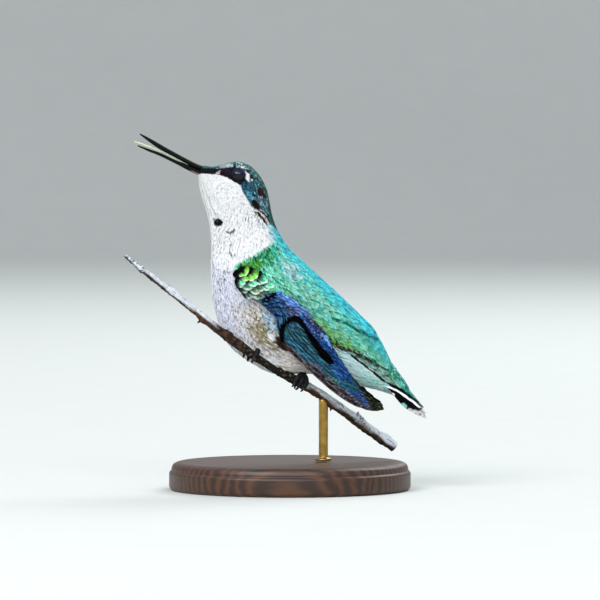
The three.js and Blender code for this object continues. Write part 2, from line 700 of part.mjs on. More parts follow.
// Welds points closer than a hair and drops the slivers between them, where the body stays closed.
function welded(geometry, hair) {
  const merged = mergeVertices(geometry, hair);
  const corners = merged.index.array;
  const index = [];
  const uses = new Map();
  for (let i = 0; i < corners.length; i += 3) {
    const face = [corners[i], corners[i + 1], corners[i + 2]];
    if (new Set(face).size < 3) continue;
    index.push(...face);
    face.forEach((a, k) => {
      const b = face[(k + 1) % 3];
      const edge = `${Math.min(a, b)} ${Math.max(a, b)}`;
      uses.set(edge, (uses.get(edge) ?? 0) + 1);
    });
  }
  merged.setIndex(index);
  return [...uses.values()].every((count) => count === 2) ? merged : null;
}

function solidNode(name, made, material) {
  const { vertProperties, triVerts, numProp } = made.getMesh();
  const geometry = new THREE.BufferGeometry();
  geometry.setAttribute("position", new THREE.BufferAttribute(vertProperties, numProp));
  geometry.setIndex(new THREE.BufferAttribute(triVerts, 1));
  const welds = HAIRS.map((hair) => welded(geometry, hair));
  return node(name, welds.find((weld) => weld) ?? geometry, material);
}

const bird = new THREE.Group();
bird.add(
  solidNode("head", head, materials.crown),
  node("eye_left", eyeSphere(LEFT, EYE.radius), materials.eye),
  node("eye_right", eyeSphere(RIGHT, EYE.radius), materials.eye),
  solidNode("bill_upper", upperMandible, materials.bill),
  node("bill_lower", mandible(LOWER_MANDIBLE), materials.bill),
  node("tongue", mandible(TONGUE, 6, 6), materials.tongue),
  solidNode("neck", neck, materials.throat),
  solidNode("torso", torso, materials.back),
  solidNode("rump", rump, materials.back),
  solidNode("tail", tail, materials.tail),
  solidNode("wing_left", wings.left, materials.flight),
  solidNode("wing_right", wings.right, materials.flight),
  solidNode("leg_left", legs.left, materials.throat),
  solidNode("leg_right", legs.right, materials.throat),
  solidNode("foot_left", feet.left, materials.foot),
  solidNode("foot_right", feet.right, materials.foot),
  solidNode("perch_twig", twig, materials.bark),
);
bird.position.set(PERCH_OFFSET, 0, PERCH_HEIGHT);

const baseProfile = [
  [0, 0],
  [BASE_RADIUS - 0.6, 0],
  [BASE_RADIUS, 0.6],
  [BASE_RADIUS, BASE_HEIGHT - 1.6],
  [BASE_RADIUS - 0.5, BASE_HEIGHT - 0.5],
  [BASE_RADIUS - 1.6, BASE_HEIGHT],
  [0, BASE_HEIGHT],
].map(([r, z]) => new THREE.Vector2(r, z));
const baseDisc = new THREE.LatheGeometry(baseProfile, 40).rotateX(Math.PI / 2);

// The rod's top is hollowed to the twig that it carries.
function rodSolid() {
  const { point } = twigAt(ROD_X);
  const bottom = BASE_HEIGHT + GAP - PERCH_HEIGHT;
  const shaft = new THREE.CylinderGeometry(ROD_RADIUS, ROD_RADIUS, point.z - bottom, 16);
  shaft.rotateX(Math.PI / 2);
  shaft.translate(point.x, point.y, (point.z + bottom) / 2);
  return largest(cut(solid(shaft), [twigSolid(GAP)]));
}

const rodNode = solidNode("stand_rod", rodSolid(), materials.brass);
rodNode.position.copy(bird.position);
const stand = new THREE.Group();
stand.add(node("stand_base", baseDisc, materials.wood), rodNode);

const hummingbird = new THREE.Group();
hummingbird.add(bird, stand);

export default hummingbird;
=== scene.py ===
"""The looks of the hummingbird: skin, feathers, bill, eyes, feet, twig and stand, with lights and camera.

Sizes are in millimetres in the bird's own frame, whose origin is where it grips the twig: -X is forward, -Y
is the bird's left and +Z is up. world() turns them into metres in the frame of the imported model.
"""
import math

import bpy
import numpy as np
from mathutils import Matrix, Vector

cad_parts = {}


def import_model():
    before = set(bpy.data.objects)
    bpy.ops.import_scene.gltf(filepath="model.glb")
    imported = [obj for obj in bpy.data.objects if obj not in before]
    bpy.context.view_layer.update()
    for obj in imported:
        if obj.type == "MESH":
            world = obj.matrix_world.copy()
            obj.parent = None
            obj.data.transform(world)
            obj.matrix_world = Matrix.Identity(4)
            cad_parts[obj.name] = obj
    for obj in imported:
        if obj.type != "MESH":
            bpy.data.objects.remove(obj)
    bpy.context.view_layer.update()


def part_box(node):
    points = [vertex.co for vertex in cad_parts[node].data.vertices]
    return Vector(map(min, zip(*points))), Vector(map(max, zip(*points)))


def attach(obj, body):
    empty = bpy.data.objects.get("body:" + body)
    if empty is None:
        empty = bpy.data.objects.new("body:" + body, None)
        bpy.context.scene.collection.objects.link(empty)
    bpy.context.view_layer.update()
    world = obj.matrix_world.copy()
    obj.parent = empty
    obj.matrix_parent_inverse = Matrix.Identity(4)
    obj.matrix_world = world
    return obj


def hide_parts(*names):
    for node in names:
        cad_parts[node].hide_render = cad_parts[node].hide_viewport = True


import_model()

# ---------------------------------------------------------------- driving dimensions

MM = 0.001
GAP = 0.3
LEFT, RIGHT = -1, 1
SIDE_NAMES = {LEFT: "left", RIGHT: "right"}

# Each station is a cut across the body: back x, back z, front x, front z, half width, how egg-shaped.
BODY = np.array([
    [-15.5, 43.55, -16.5, 41.9, 1.1, 0],
    [-13.1, 43.35, -16.4, 40.2, 2.6, 0.1],
    [-10.5, 44.0, -16.1, 38.1, 4.0, 0.2],
    [-8.0, 44.4, -15.5, 35.9, 5.0, 0.25],
    [-5.4, 43.5, -14.8, 33.8, 5.5, 0.25],
    [-3.2, 41.25, -14.2, 31.4, 5.7, 0.2],
    [-1.8, 38.5, -13.8, 28.8, 5.7, 0.15],
    [-1.1, 35.5, -13.7, 26.2, 5.6, 0.1],
    [-0.5, 32.5, -13.8, 23.6, 5.8, 0.05],
    [0.8, 29.2, -13.8, 20.6, 6.6, 0],
    [3.2, 25.7, -13.7, 17.2, 7.6, 0],
    [6.7, 22.4, -13.1, 13.3, 8.3, 0],
    [10.5, 18.9, -12.0, 9.0, 8.6, 0],
    [14.4, 15.3, -9.9, 4.9, 8.5, -0.05],
    [17.8, 12.0, -5.8, 1.5, 7.9, -0.05],
    [20.9, 9.0, 0.0, -1.3, 6.8, 0],
    [22.8, 5.8, 6.6, -1.2, 5.7, 0.05],
    [24.5, 2.4, 12.2, -2.1, 4.6, 0.1],
    [25.9, -0.8, 18.5, -3.9, 3.6, 0.1],
    [27.0, -3.1, 22.8, -5.0, 2.6, 0.1],
    [27.8, -4.9, 26.0, -6.1, 1.2, 0],
])

EYE = np.array([-7.8, 4.1, 41.5])
EYE_RADIUS = 1.6
EYE_OPENING = 1.14
LID_WIDTH = 0.38
LID_THICKNESS = 0.12
LID_PUCKERS = 26

# Each mandible's middle line: x, z, half height, half width. Their roots run in under the face's feathers.
UPPER_MANDIBLE = np.array([
    [-12.2, 42.50, 0.40, 1.20],
    [-14.2, 42.65, 0.52, 1.15],
    [-15.9, 43.02, 0.52, 1.00],
    [-18.1, 44.00, 0.50, 0.84],
    [-21.4, 45.75, 0.48, 0.67],
    [-24.7, 47.55, 0.50, 0.57],
    [-26.9, 48.95, 0.38, 0.45],
    [-29.0, 50.30, 0.14, 0.20],
])
LOWER_MANDIBLE = np.array([
    [-14.6, 41.80, 0.30, 1.05],
    [-16.4, 42.14, 0.58, 0.90],
    [-18.1, 42.88, 0.58, 0.76],
    [-21.4, 44.35, 0.36, 0.60],
    [-24.7, 45.93, 0.33, 0.49],
    [-26.9, 46.75, 0.28, 0.40],
    [-29.5, 47.80, 0.13, 0.19],
])
TONGUE = np.array([
    [-18.6, 43.62, 0.06, 0.30],
    [-21.4, 45.04, 0.09, 0.30],
    [-23.8, 46.20, 0.11, 0.28],
    [-26.4, 47.30, 0.15, 0.26],
    [-28.2, 47.98, 0.19, 0.24],
    [-30.2, 48.68, 0.12, 0.16],
])

# The folded wing's own frame: s runs from the wrist to the tip, t across it towards the back, n outwards.
WRIST = np.array([-7.5, 19.4])
WING_ALONG = np.array([0.752, -0.659])
WING_UP = np.array([0.659, 0.752])
# How far the wing's middle stands from the bird's middle plane, by s, and how much it curves in above and
# below its crest.
WING_MIDDLE = np.array([[-2, 6.4], [3, 8.3], [12, 9.35], [22, 9.0], [32, 7.9], [42, 6.6]])
WING_CURVE = 0.045
WING_CREST = 0.6
# The wing's outline: s, lower t, upper t.
WING_EDGES = np.array([
    [-1.8, 0.2, 2.2],
    [0, -0.9, 3.5],
    [4, -1.5, 4.2],
    [9, -0.9, 4.4],
    [12, -1.5, 4.4],
    [14, -3.1, 4.4],
    [16, -4.3, 4.3],
    [20, -4.8, 3.8],
    [26, -5.1, 2.5],
    [32, -5.0, 0.9],
    [37, -4.1, 0.35],
    [40.4, -2.6, 0.0],
    [41.6, -1.3, -0.6],
])
# The coat sinks into a bed under the wing, and the back's feathers lie over its upper edge as a lid. Each
# passes into the coat between two distances inside the wing's outline, and the lid thins out between two
# places along it.
WING_BED = 0.95
BED_EDGE = (-0.1, 0.9)
WING_LID = np.array([[2, 1.40], [8, 1.35], [12, 1.0], [16, 0.8]])
LID_EDGE = (-1.8, -0.3)
LID_END = (9, 15)
# How far along the wing the tips of its long feathers reach.
PRIMARIES = [41.6, 40.7, 39.0, 36.9, 34.6, 32.1, 29.5, 27.1, 25.0, 23.1]
SECONDARIES = [21.2, 20.0, 18.8, 17.6, 16.4, 15.2]
WING_FRAME = (WRIST, WING_ALONG, WING_UP)

# The tail's own frame: s runs from its root to its tip, t towards the back. Its feathers lie on an arc whose
# radius goes from the first to the second number over the length in the third, and which rises likewise.
TAIL_ROOT = np.array([20.9, 3.4])
TAIL_ALONG = np.array([0.632, -0.775])
TAIL_UP = np.array([0.775, 0.632])
TAIL_ARC = (2.6, 4.3, 14)
TAIL_RISE = (-0.2, 1.0, 9)
TAIL_FRAME = (TAIL_ROOT, TAIL_ALONG, TAIL_UP)
# Each tail feather of one side, from the middle outwards: how far its tip is along, how far across, and lift.
TAIL_FEATHERS = [
    [16.2, 0.8, 0], [17.5, 1.8, -0.22], [18.2, 2.8, -0.42], [17.0, 3.8, -0.6], [15.2, 4.75, -0.75],
]
# The height t of the feathers under the tail, by s.
UNDER_TAIL = np.array([[3, -6.0], [5, -5.0], [8.3, -3.3], [11.5, -2.1]])

# The twig's middle line in the side view: x, z, radius. It slants across the bird's middle plane.
TWIG = np.array([
    [-31.8, 24.5, 0.35],
    [-28.1, 21.4, 0.6],
    [-24.3, 18.4, 0.68],
    [-17.0, 12.6, 0.78],
    [-12.0, 8.4, 0.92],
    [-7.1, 4.8, 1.05],
    [-2.2, 1.6, 1.12],
    [2.8, -1.6, 1.1],
    [10.3, -6.0, 1.02],
    [16.6, -10.7, 1.08],
    [20.2, -13.4, 1.15],
    [25.8, -17.3, 1.1],
])
TWIG_SLANT = 0.295
TWIG_Y = -3.5
TOE_RADIUS = 0.62
FOOT_X = {LEFT: 5.1, RIGHT: -4.7}

# The body's feathers along it: station, then spacing, length and depth of the coat, each at the back and the
# front.
COAT = np.array([
    [0.00, 0.22, 0.22, 0.55, 0.55, 0.14, 0.14],
    [0.06, 0.28, 0.28, 0.75, 0.80, 0.24, 0.18],
    [0.14, 0.34, 0.36, 1.10, 1.20, 0.32, 0.24],
    [0.25, 0.42, 0.44, 1.45, 1.65, 0.38, 0.31],
    [0.38, 0.52, 0.54, 2.00, 2.20, 0.42, 0.38],
    [0.50, 0.62, 0.64, 2.50, 2.80, 0.46, 0.42],
    [0.68, 0.68, 0.72, 2.90, 3.20, 0.46, 0.48],
    [0.85, 0.68, 0.70, 2.90, 3.10, 0.42, 0.44],
    [1.00, 0.56, 0.60, 2.40, 2.50, 0.34, 0.38],
])

rng = np.random.default_rng(7)

# ---------------------------------------------------------------- small helpers


def ink(code):
    """A colour from its hexadecimal code, as linear red, green and blue."""
    c = np.array([int(code[i:i + 2], 16) for i in (0, 2, 4)]) / 255
    return np.where(c < 0.04045, c / 12.92, ((c + 0.055) / 1.055) ** 2.4)


def lerp(a, b, share):
    return a + (b - a) * share


def smooth(low, high, x):
    x = np.clip((x - low) / (high - low), 0, 1)
    return x * x * (3 - 2 * x)


def unit(v):
    return v / np.maximum(np.linalg.norm(v, axis=-1, keepdims=True), 1e-9)


def along(pairs, x, column=1):
    """The value at x of a smooth line through rows of [x, value ...]."""
    x = np.asarray(x, float)
    xs, ys = pairs[:, 0], pairs[:, column]
    slopes = np.zeros(len(xs))
    slopes[1:-1] = (ys[2:] - ys[:-2]) / (xs[2:] - xs[:-2])
    i = np.clip(np.searchsorted(xs, x, side="left") - 1, 0, len(xs) - 2)
    span = xs[i + 1] - xs[i]
    u = np.clip((x - xs[i]) / span, 0, 1)
    bend = slopes[i] * span * (u**3 - 2 * u**2 + u) + slopes[i + 1] * span * (u**3 - u**2)
    return ys[i] * (2 * u**3 - 3 * u**2 + 1) + ys[i + 1] * (3 * u**2 - 2 * u**3) + bend


def spline(points, t):
    """The points at shares t of a centripetal Catmull-Rom curve."""
    p = np.asarray(points, float)
    last = len(p) - 1
    place = np.clip(np.asarray(t, float), 0, 1) * last
    i = np.minimum(place.astype(int), last - 1)
    w = (place - i)[..., None]
    ends = np.vstack([2 * p[0] - p[1], p, 2 * p[-1] - p[-2]])
    p0, p1, p2, p3 = (ends[i + k] for k in range(4))
    d0, d1, d2 = (
        np.maximum(np.linalg.norm(b - a, axis=-1, keepdims=True) ** 0.5, 1e-3)
        for a, b in ((p0, p1), (p1, p2), (p2, p3))
    )
    m1 = ((p1 - p0) / d0 - (p2 - p0) / (d0 + d1) + (p2 - p1) / d1) * d1
    m2 = ((p2 - p1) / d1 - (p3 - p1) / (d1 + d2) + (p3 - p2) / d2) * d1
    return p1 + m1 * w + (3 * (p2 - p1) - 2 * m1 - m2) * w**2 + (2 * (p1 - p2) + m1 + m2) * w**3


def patches(points, size, seed):
    """Soft noise from -1 to 1 over places in space, with patches of that size."""
    draw = np.random.default_rng(seed)
    waves = draw.normal(size=(7, 3)) * (2.2 / size)
    return np.sin(points @ waves.T + draw.uniform(0, 6.28, 7)).sum(axis=-1) / 4


eye_low, eye_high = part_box("eye_left")
GRIP = (np.array(eye_low) + np.array(eye_high)) / 2 - EYE * [1, LEFT, 1] * MM


def world(points):
    return np.asarray(points) * MM + GRIP


# ---------------------------------------------------------------- meshes


def mesh_piece(name, points, triangles, material, slot, replaced=(),
               paint=None, blade=None, uv=None, flat=None):
    """A piece of triangles in the bird's frame. paint, blade and uv hold a row for each point."""
    mesh = bpy.data.meshes.new(name)
    mesh.vertices.add(len(points))
    mesh.vertices.foreach_set("co", world(points).astype(np.float32).ravel())
    mesh.loops.add(triangles.size)
    mesh.loops.foreach_set("vertex_index", triangles.astype(np.int32).ravel())
    mesh.polygons.add(len(triangles))
    mesh.polygons.foreach_set("loop_start", np.arange(0, triangles.size, 3, dtype=np.int32))
    mesh.polygons.foreach_set("use_smooth", np.ones(len(triangles), bool) if flat is None else ~flat)
    mesh.update(calc_edges=True)
    if paint is not None:
        colours = np.hstack([np.clip(paint, 0, 1), np.ones((len(paint), 1))]).astype(np.float32)
        mesh.attributes.new("paint", "FLOAT_COLOR", "POINT").data.foreach_set("color", colours.ravel())
    if blade is not None:
        vectors = blade.astype(np.float32).ravel()
        mesh.attributes.new("blade", "FLOAT_VECTOR", "POINT").data.foreach_set("vector", vectors)
    if uv is not None:
        layer = mesh.uv_layers.new(name="OFBake")
        layer.uv.foreach_set("vector", uv[triangles.ravel()].astype(np.float32).ravel())
    mesh.materials.append(material)
    piece = bpy.data.objects.new(name, mesh)
    bpy.context.scene.collection.objects.link(piece)
    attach(piece, "root")
    if replaced:
        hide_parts(*replaced)


def grid_triangles(rows, columns, closed=False):
    """Triangles over a grid of points, rows by columns, whose columns may join up."""
    across = columns if closed else columns - 1
    i, j = np.meshgrid(np.arange(rows - 1), np.arange(across), indexing="ij")
    a = i * columns + j
    b = i * columns + (j + 1) % columns
    c, d = b + columns, a + columns
    return np.stack([np.stack([a, d, c], -1), np.stack([a, c, b], -1)], 2).reshape(-1, 3)


def outward(points, triangles):
    """The triangles, turned round if the body that they close is inside out."""
    a, b, c = (points[triangles[:, k]] for k in range(3))
    volume = np.einsum("ij,ij->i", a, np.cross(b, c)).sum()
    return triangles if volume > 0 else triangles[:, ::-1]


def loft(rings):
    """Points and triangles of a closed body through rings of points, capped at its two ends."""
    rows, sides = rings.shape[:2]
    points = np.vstack([rings.reshape(-1, 3), rings[0].mean(0), rings[-1].mean(0)])
    k = np.arange(sides)
    after = (k + 1) % sides
    last = (rows - 1) * sides
    start = np.stack([np.full(sides, rows * sides), k, after], -1)
    end = np.stack([np.full(sides, rows * sides + 1), last + after, last + k], -1)
    return points, outward(points, np.vstack([grid_triangles(rows, sides, closed=True), start, end]))


class Heap:
    """Collects the points, triangles and looks of many small bodies that make one piece."""

    def __init__(self):
        self.points, self.triangles, self.looks = [], [], {}
        self.count = 0

    def add(self, points, triangles, **looks):
        self.points.append(points)
        self.triangles.append(triangles + self.count)
        self.count += len(points)
        for kind, rows in looks.items():
            self.looks.setdefault(kind, []).append(rows)

    def piece(self, name, material, slot, replaced=()):
        looks = {kind: np.concatenate(rows) for kind, rows in self.looks.items()}
        points, triangles = np.concatenate(self.points), np.concatenate(self.triangles)
        mesh_piece(name, points, triangles, material, slot, replaced, **looks)


# ---------------------------------------------------------------- the body's surface


def placed(flat_frame, s, t, y):
    """Places of the wing's or tail's own frame in the bird's frame, at y across the bird."""
    origin, ahead, up = flat_frame
    plane = origin + s[..., None] * ahead + t[..., None] * up
    return np.stack([plane[..., 0], y + np.zeros(plane.shape[:-1]), plane[..., 1]], -1)


def wing_out(s, t):
    """How far the folded wing's middle lies from the body's middle plane."""
    return along(WING_MIDDLE, s) - WING_CURVE * (t - WING_CREST) ** 2


def wing_coordinates(points):
    """Places in the wing's own frame."""
    d = points[..., [0, 2]] - WRIST
    return d @ WING_ALONG, d @ WING_UP


def within_wing(s, t):
    """How far a place lies inside the folded wing's outline, negative outside it."""
    return np.minimum.reduce([
        t - along(WING_EDGES, s, 1),
        along(WING_EDGES, s, 2) - t,
        s - WING_EDGES[0, 0],
        WING_EDGES[-1, 0] - s,
    ])


def raw_body(u, turn):
    """The body's surface without the wings' beds: u goes from bill to tail, turn round it from the back."""
    back, front, size = spline(BODY[:, 0:2], u), spline(BODY[:, 2:4], u), spline(BODY[:, 4:6], u)
    cos, sin = np.cos(turn), np.sin(turn)
    plane = (back + front) / 2 + (back - front) / 2 * cos[..., None]
    reach = size[..., 0] * sin * (1 + size[..., 1] * cos)
    return np.stack([plane[..., 0], reach, plane[..., 1]], -1)


def body_point(u, turn, over=None):
    """The outer surface of the coat, hollowed under the wings, or laid over them where over is true."""
    inside_u = np.clip(u, 0, 1)
    p = raw_body(inside_u, turn)
    # past the last station the surface runs straight on
    step = 1e-3
    last = np.minimum(inside_u, 1 - step)
    p = p + (raw_body(last + step, turn) - raw_body(last, turn)) / step * (u - inside_u)[..., None]
    s, t = wing_coordinates(p)
    inside = within_wing(s, t)
    out = np.abs(p[..., 1])
    bed = wing_out(s, t) - WING_BED - GAP
    under = np.where(out > bed, lerp(out, bed, smooth(*BED_EDGE, inside)), out)
    if over is None:
        out = under
    else:
        lid = wing_out(s, t) + along(WING_LID, s)
        above = np.where(out < lid, lerp(out, lid, smooth(*LID_EDGE, inside)), out)
        out = np.where(over, lerp(above, under, smooth(*LID_END, s)), under)
    p[..., 1] = np.sign(p[..., 1]) * out
    return p


def body_frame(u, turn, over=None):
    """Places on the coat's surface, with the ways along and across it and out of it."""
    e = 2e-3
    p = body_point(u, turn, over)
    low, high = np.maximum(u - e, 0), np.minimum(u + e, 1.02)
    lie = (body_point(high, turn, over) - body_point(low, turn, over)) / (high - low)[..., None]
    across = (body_point(u, turn + e, over) - body_point(u, turn - e, over)) / (2 * e)
    normal = unit(np.cross(lie, across))
    return p, lie, across, normal


def coat_sizes(u, turn):
    """Spacing, length and depth of the feathers at places on the body."""
    back = (1 + np.cos(turn)) / 2
    return [lerp(along(COAT, u, rear + 1), along(COAT, u, rear), back) for rear in (1, 3, 5)]


# ---------------------------------------------------------------- markings

WHITE, LILAC, CREAM = ink("fdfdff"), ink("e4e5f1"), ink("f1ecd8")
PALE_CYAN, GREY = ink("c9eef0"), ink("aeb0bf")
BUFF, OLIVE = ink("b3a488"), ink("7c7550")
SLATE, TEAL, PALE_TEAL = ink("143442"), ink("3f8692"), ink("b4e2e6")
NAVY, BLACK, SOOT, PLUM = ink("0b1938"), ink("050608"), ink("14191d"), ink("191224")
RUST, MAROON = ink("6d4a34"), ink("3f0d10")
CYAN, TURQUOISE, GREEN, MINT = ink("12b4e4"), ink("3ae4e4"), ink("38dcac"), ink("a6fade")
GOLD_GREEN, DEEP_GREEN, LIME = ink("9ad67c"), ink("08543f"), ink("70cc42")
DEEP_TEAL, STREAK = ink("08415c"), ink("3ba3bb")
ARCH, BROWN_GREY, OLIVE_BLACK = ink("020308"), ink("1f1d22"), ink("11140a")


def disc(x, z, radius):
    """The outline of a round spot."""
    turns = np.linspace(0, 2 * math.pi, 12, endpoint=False)
    return [(x + radius * math.cos(a), z + radius * math.sin(a)) for a in turns]


# Patches of colour seen from the side, where later ones lie over earlier ones: outline, softness of its edge,
# colour, colour of the feathers' tips and gloss.
BODY_MARKS = [
    # the lower breast, flank and belly
    ([(-13.5, 22), (-8, 20.5), (-6, 16.8), (-2, 12), (-3, 4), (-12, 6), (-14.5, 15)], 2.5, ink("c8cde6"),
     ink("f1f2fc"), 0.05),
    ([(-6.7, 13.4), (-2.8, 13.6), (1.3, 8), (3.6, 4.7), (2, 2.4), (-3.2, 4.2), (-6.4, 8.2)], 1.3, BUFF, LILAC,
     0.05),
    ([(-4.2, 10.5), (-1.5, 9.5), (1.5, 5.5), (0.5, 3.6), (-3, 5.2), (-4.8, 8)], 0.8, OLIVE, BUFF, 0.05),
    # the blue and the white beside the wing's root
    ([(-3, 13), (0.6, 11.8), (1.4, 7.6), (-1.1, 7.6)], 0.5, ink("6ea8da"), ink("c4e2f7"), 0.1),
    ([(-1.7, 8), (1.4, 7.6), (1.6, 6), (-0.6, 6)], 0.3, CREAM, WHITE, 0.1),
    # the back: green, turquoise along the spine, mint and gold-green above the wing
    ([(0.9, 28.4), (0, 27.1), (-2.8, 25.2), (-6.2, 23.4), (-8.2, 22.4), (-8.8, 20.6), (-7.5, 16.8),
     (-2.8, 14.6), (5.4, 9.2), (12.9, 5.6), (16.6, 3.9), (21.7, 1.3), (25.8, -1.9), (31.2, -5.8), (44, -7),
     (44, 38), (3.2, 34)], 0.35, GREEN, MINT, 1),
    ([(-5.6, 23.4), (-3, 24.8), (-0.3, 26.6), (0.8, 24.4), (-1.4, 22), (-3.4, 22.2)], 0.7, ink("12905a"),
     ink("5cdc9c"), 1),
    ([(-7.5, 22.4), (-5.4, 23.2), (-3.4, 23.9), (-2.4, 22.2), (-4.6, 19.8), (-8.4, 20.4)], 0.5, ink("1e8a3a"),
     LIME, 1),
    ([(-1.2, 31.1), (-0.2, 27.8), (2.2, 24.2), (5.5, 21.3), (10.4, 16.4), (12.9, 13.6), (16.1, 10.8), (19, 8),
     (21.5, 5), (24, 1.4), (30, 1), (26.9, 12), (5.4, 30.7)], 1.6, CYAN, TURQUOISE, 1),
    ([(1.7, 23.4), (4.9, 22.2), (6.4, 19.4), (3.6, 18.8), (1.8, 20.4)], 0.7, ink("6fb4b4"), PALE_CYAN, 0.7),
    ([(3.4, 19), (6.4, 18.3), (9.5, 15.6), (13.2, 12.6), (11.4, 11.2), (7.6, 13.4), (4, 16.4)], 0.8,
     ink("4cdcb4"), ink("bafbe8"), 0.9),
    ([(2.2, 17.6), (5, 15.6), (8.4, 12.2), (10.4, 10.4), (8.6, 9.6), (5.4, 12.4), (2.4, 15.4)], 0.6,
     ink("1c8f62"), MINT, 1),
    ([(10.1, 10.6), (13.4, 9.6), (16.8, 6.6), (20.4, 2.8), (18.3, 2.6), (15, 4.9), (12.3, 7)], 0.8,
     ink("4cdca4"), ink("b4fadc"), 0.9),
    ([(8, 10.6), (10.4, 10.4), (12.8, 8.4), (15.6, 6.2), (18.6, 3.9), (17.6, 2.9), (14.8, 4), (12.7, 5.2),
     (10.5, 7.2), (8.6, 9.2)], 0.6, ink("46b870"), ink("a6eca4"), 0.9),
    ([(8.9, 8.8), (11.8, 6.4), (16.1, 4.3), (21.7, 1.7), (21.5, 1.1), (15.7, 3.4), (11.4, 5.4), (8.6, 7.9)],
     0.2, ink("1e160c"), ink("4c4a26"), 0.4),
    ([(12.4, 11), (15.4, 10.1), (17.8, 8.5), (20.3, 7.2), (22.2, 6.4), (22.1, 6.05), (20.1, 6.75),
     (17.5, 7.95), (15.4, 9.5), (12.4, 10.4)], 0.12, ink("0a8a88"), ink("08605c"), 0.9),
    # the white vent and undertail, under a dark line, a band of fine grey and green and a long black line
    ([(13.2, 4.8), (16.6, 3.2), (21.7, 0.5), (25.8, -2.8), (31.2, -7.4), (31, -12), (11.8, -11.2),
     (2.1, -1.7), (2.1, 4.9), (5.4, 3.9)], 0.25, ink("bcf4f6"), ink("f2ffff"), 0.05),
    ([(1.6, 5.2), (5.4, 4), (8.8, 0), (8.6, -4), (1.4, -3)], 0.9, ink("e2dcd6"), ink("fcf6f0"), 0.05),
    ([(18.4, -0.6), (21.4, -1.6), (24.6, -3.4), (24.6, -6), (20.4, -4.8), (17.6, -3)], 1.2, ink("8cdccc"),
     ink("d4f6f4"), 0.05),
    ([(12.7, 5.9), (16.6, 4), (21.8, 1.4), (21.5, 0.7), (16.5, 3), (12.9, 4.7)], 0.18, SOOT, RUST * 0.5, 0.2),
    ([(14.8, 4), (16.6, 3.5), (20.9, 1), (22.6, 0.5), (24.9, -0.6), (26.7, -3), (27.3, -4.5), (24.9, -3.4),
     (23.2, -2.3), (20.2, 0.2), (16.6, 3)], 0.15, ink("5f9c8c"), ink("b4d9cf"), 0.4),
    ([(16.2, 3.4), (20.2, 0.25), (23.2, -2.15), (24.9, -3.3), (27, -4.4), (26.9, -4.8), (24.8, -3.8),
     (23.1, -2.7), (20.1, -0.3), (16.2, 2.9)], 0.07, BLACK, SOOT, 0.3),
    ([(20.2, 1.9), (22.6, 0.8), (24.3, -0.2), (24.3, -0.7), (22.4, 0.2), (20.4, 1.2)], 0.1, BLACK, DEEP_GREEN,
     0.4),
]
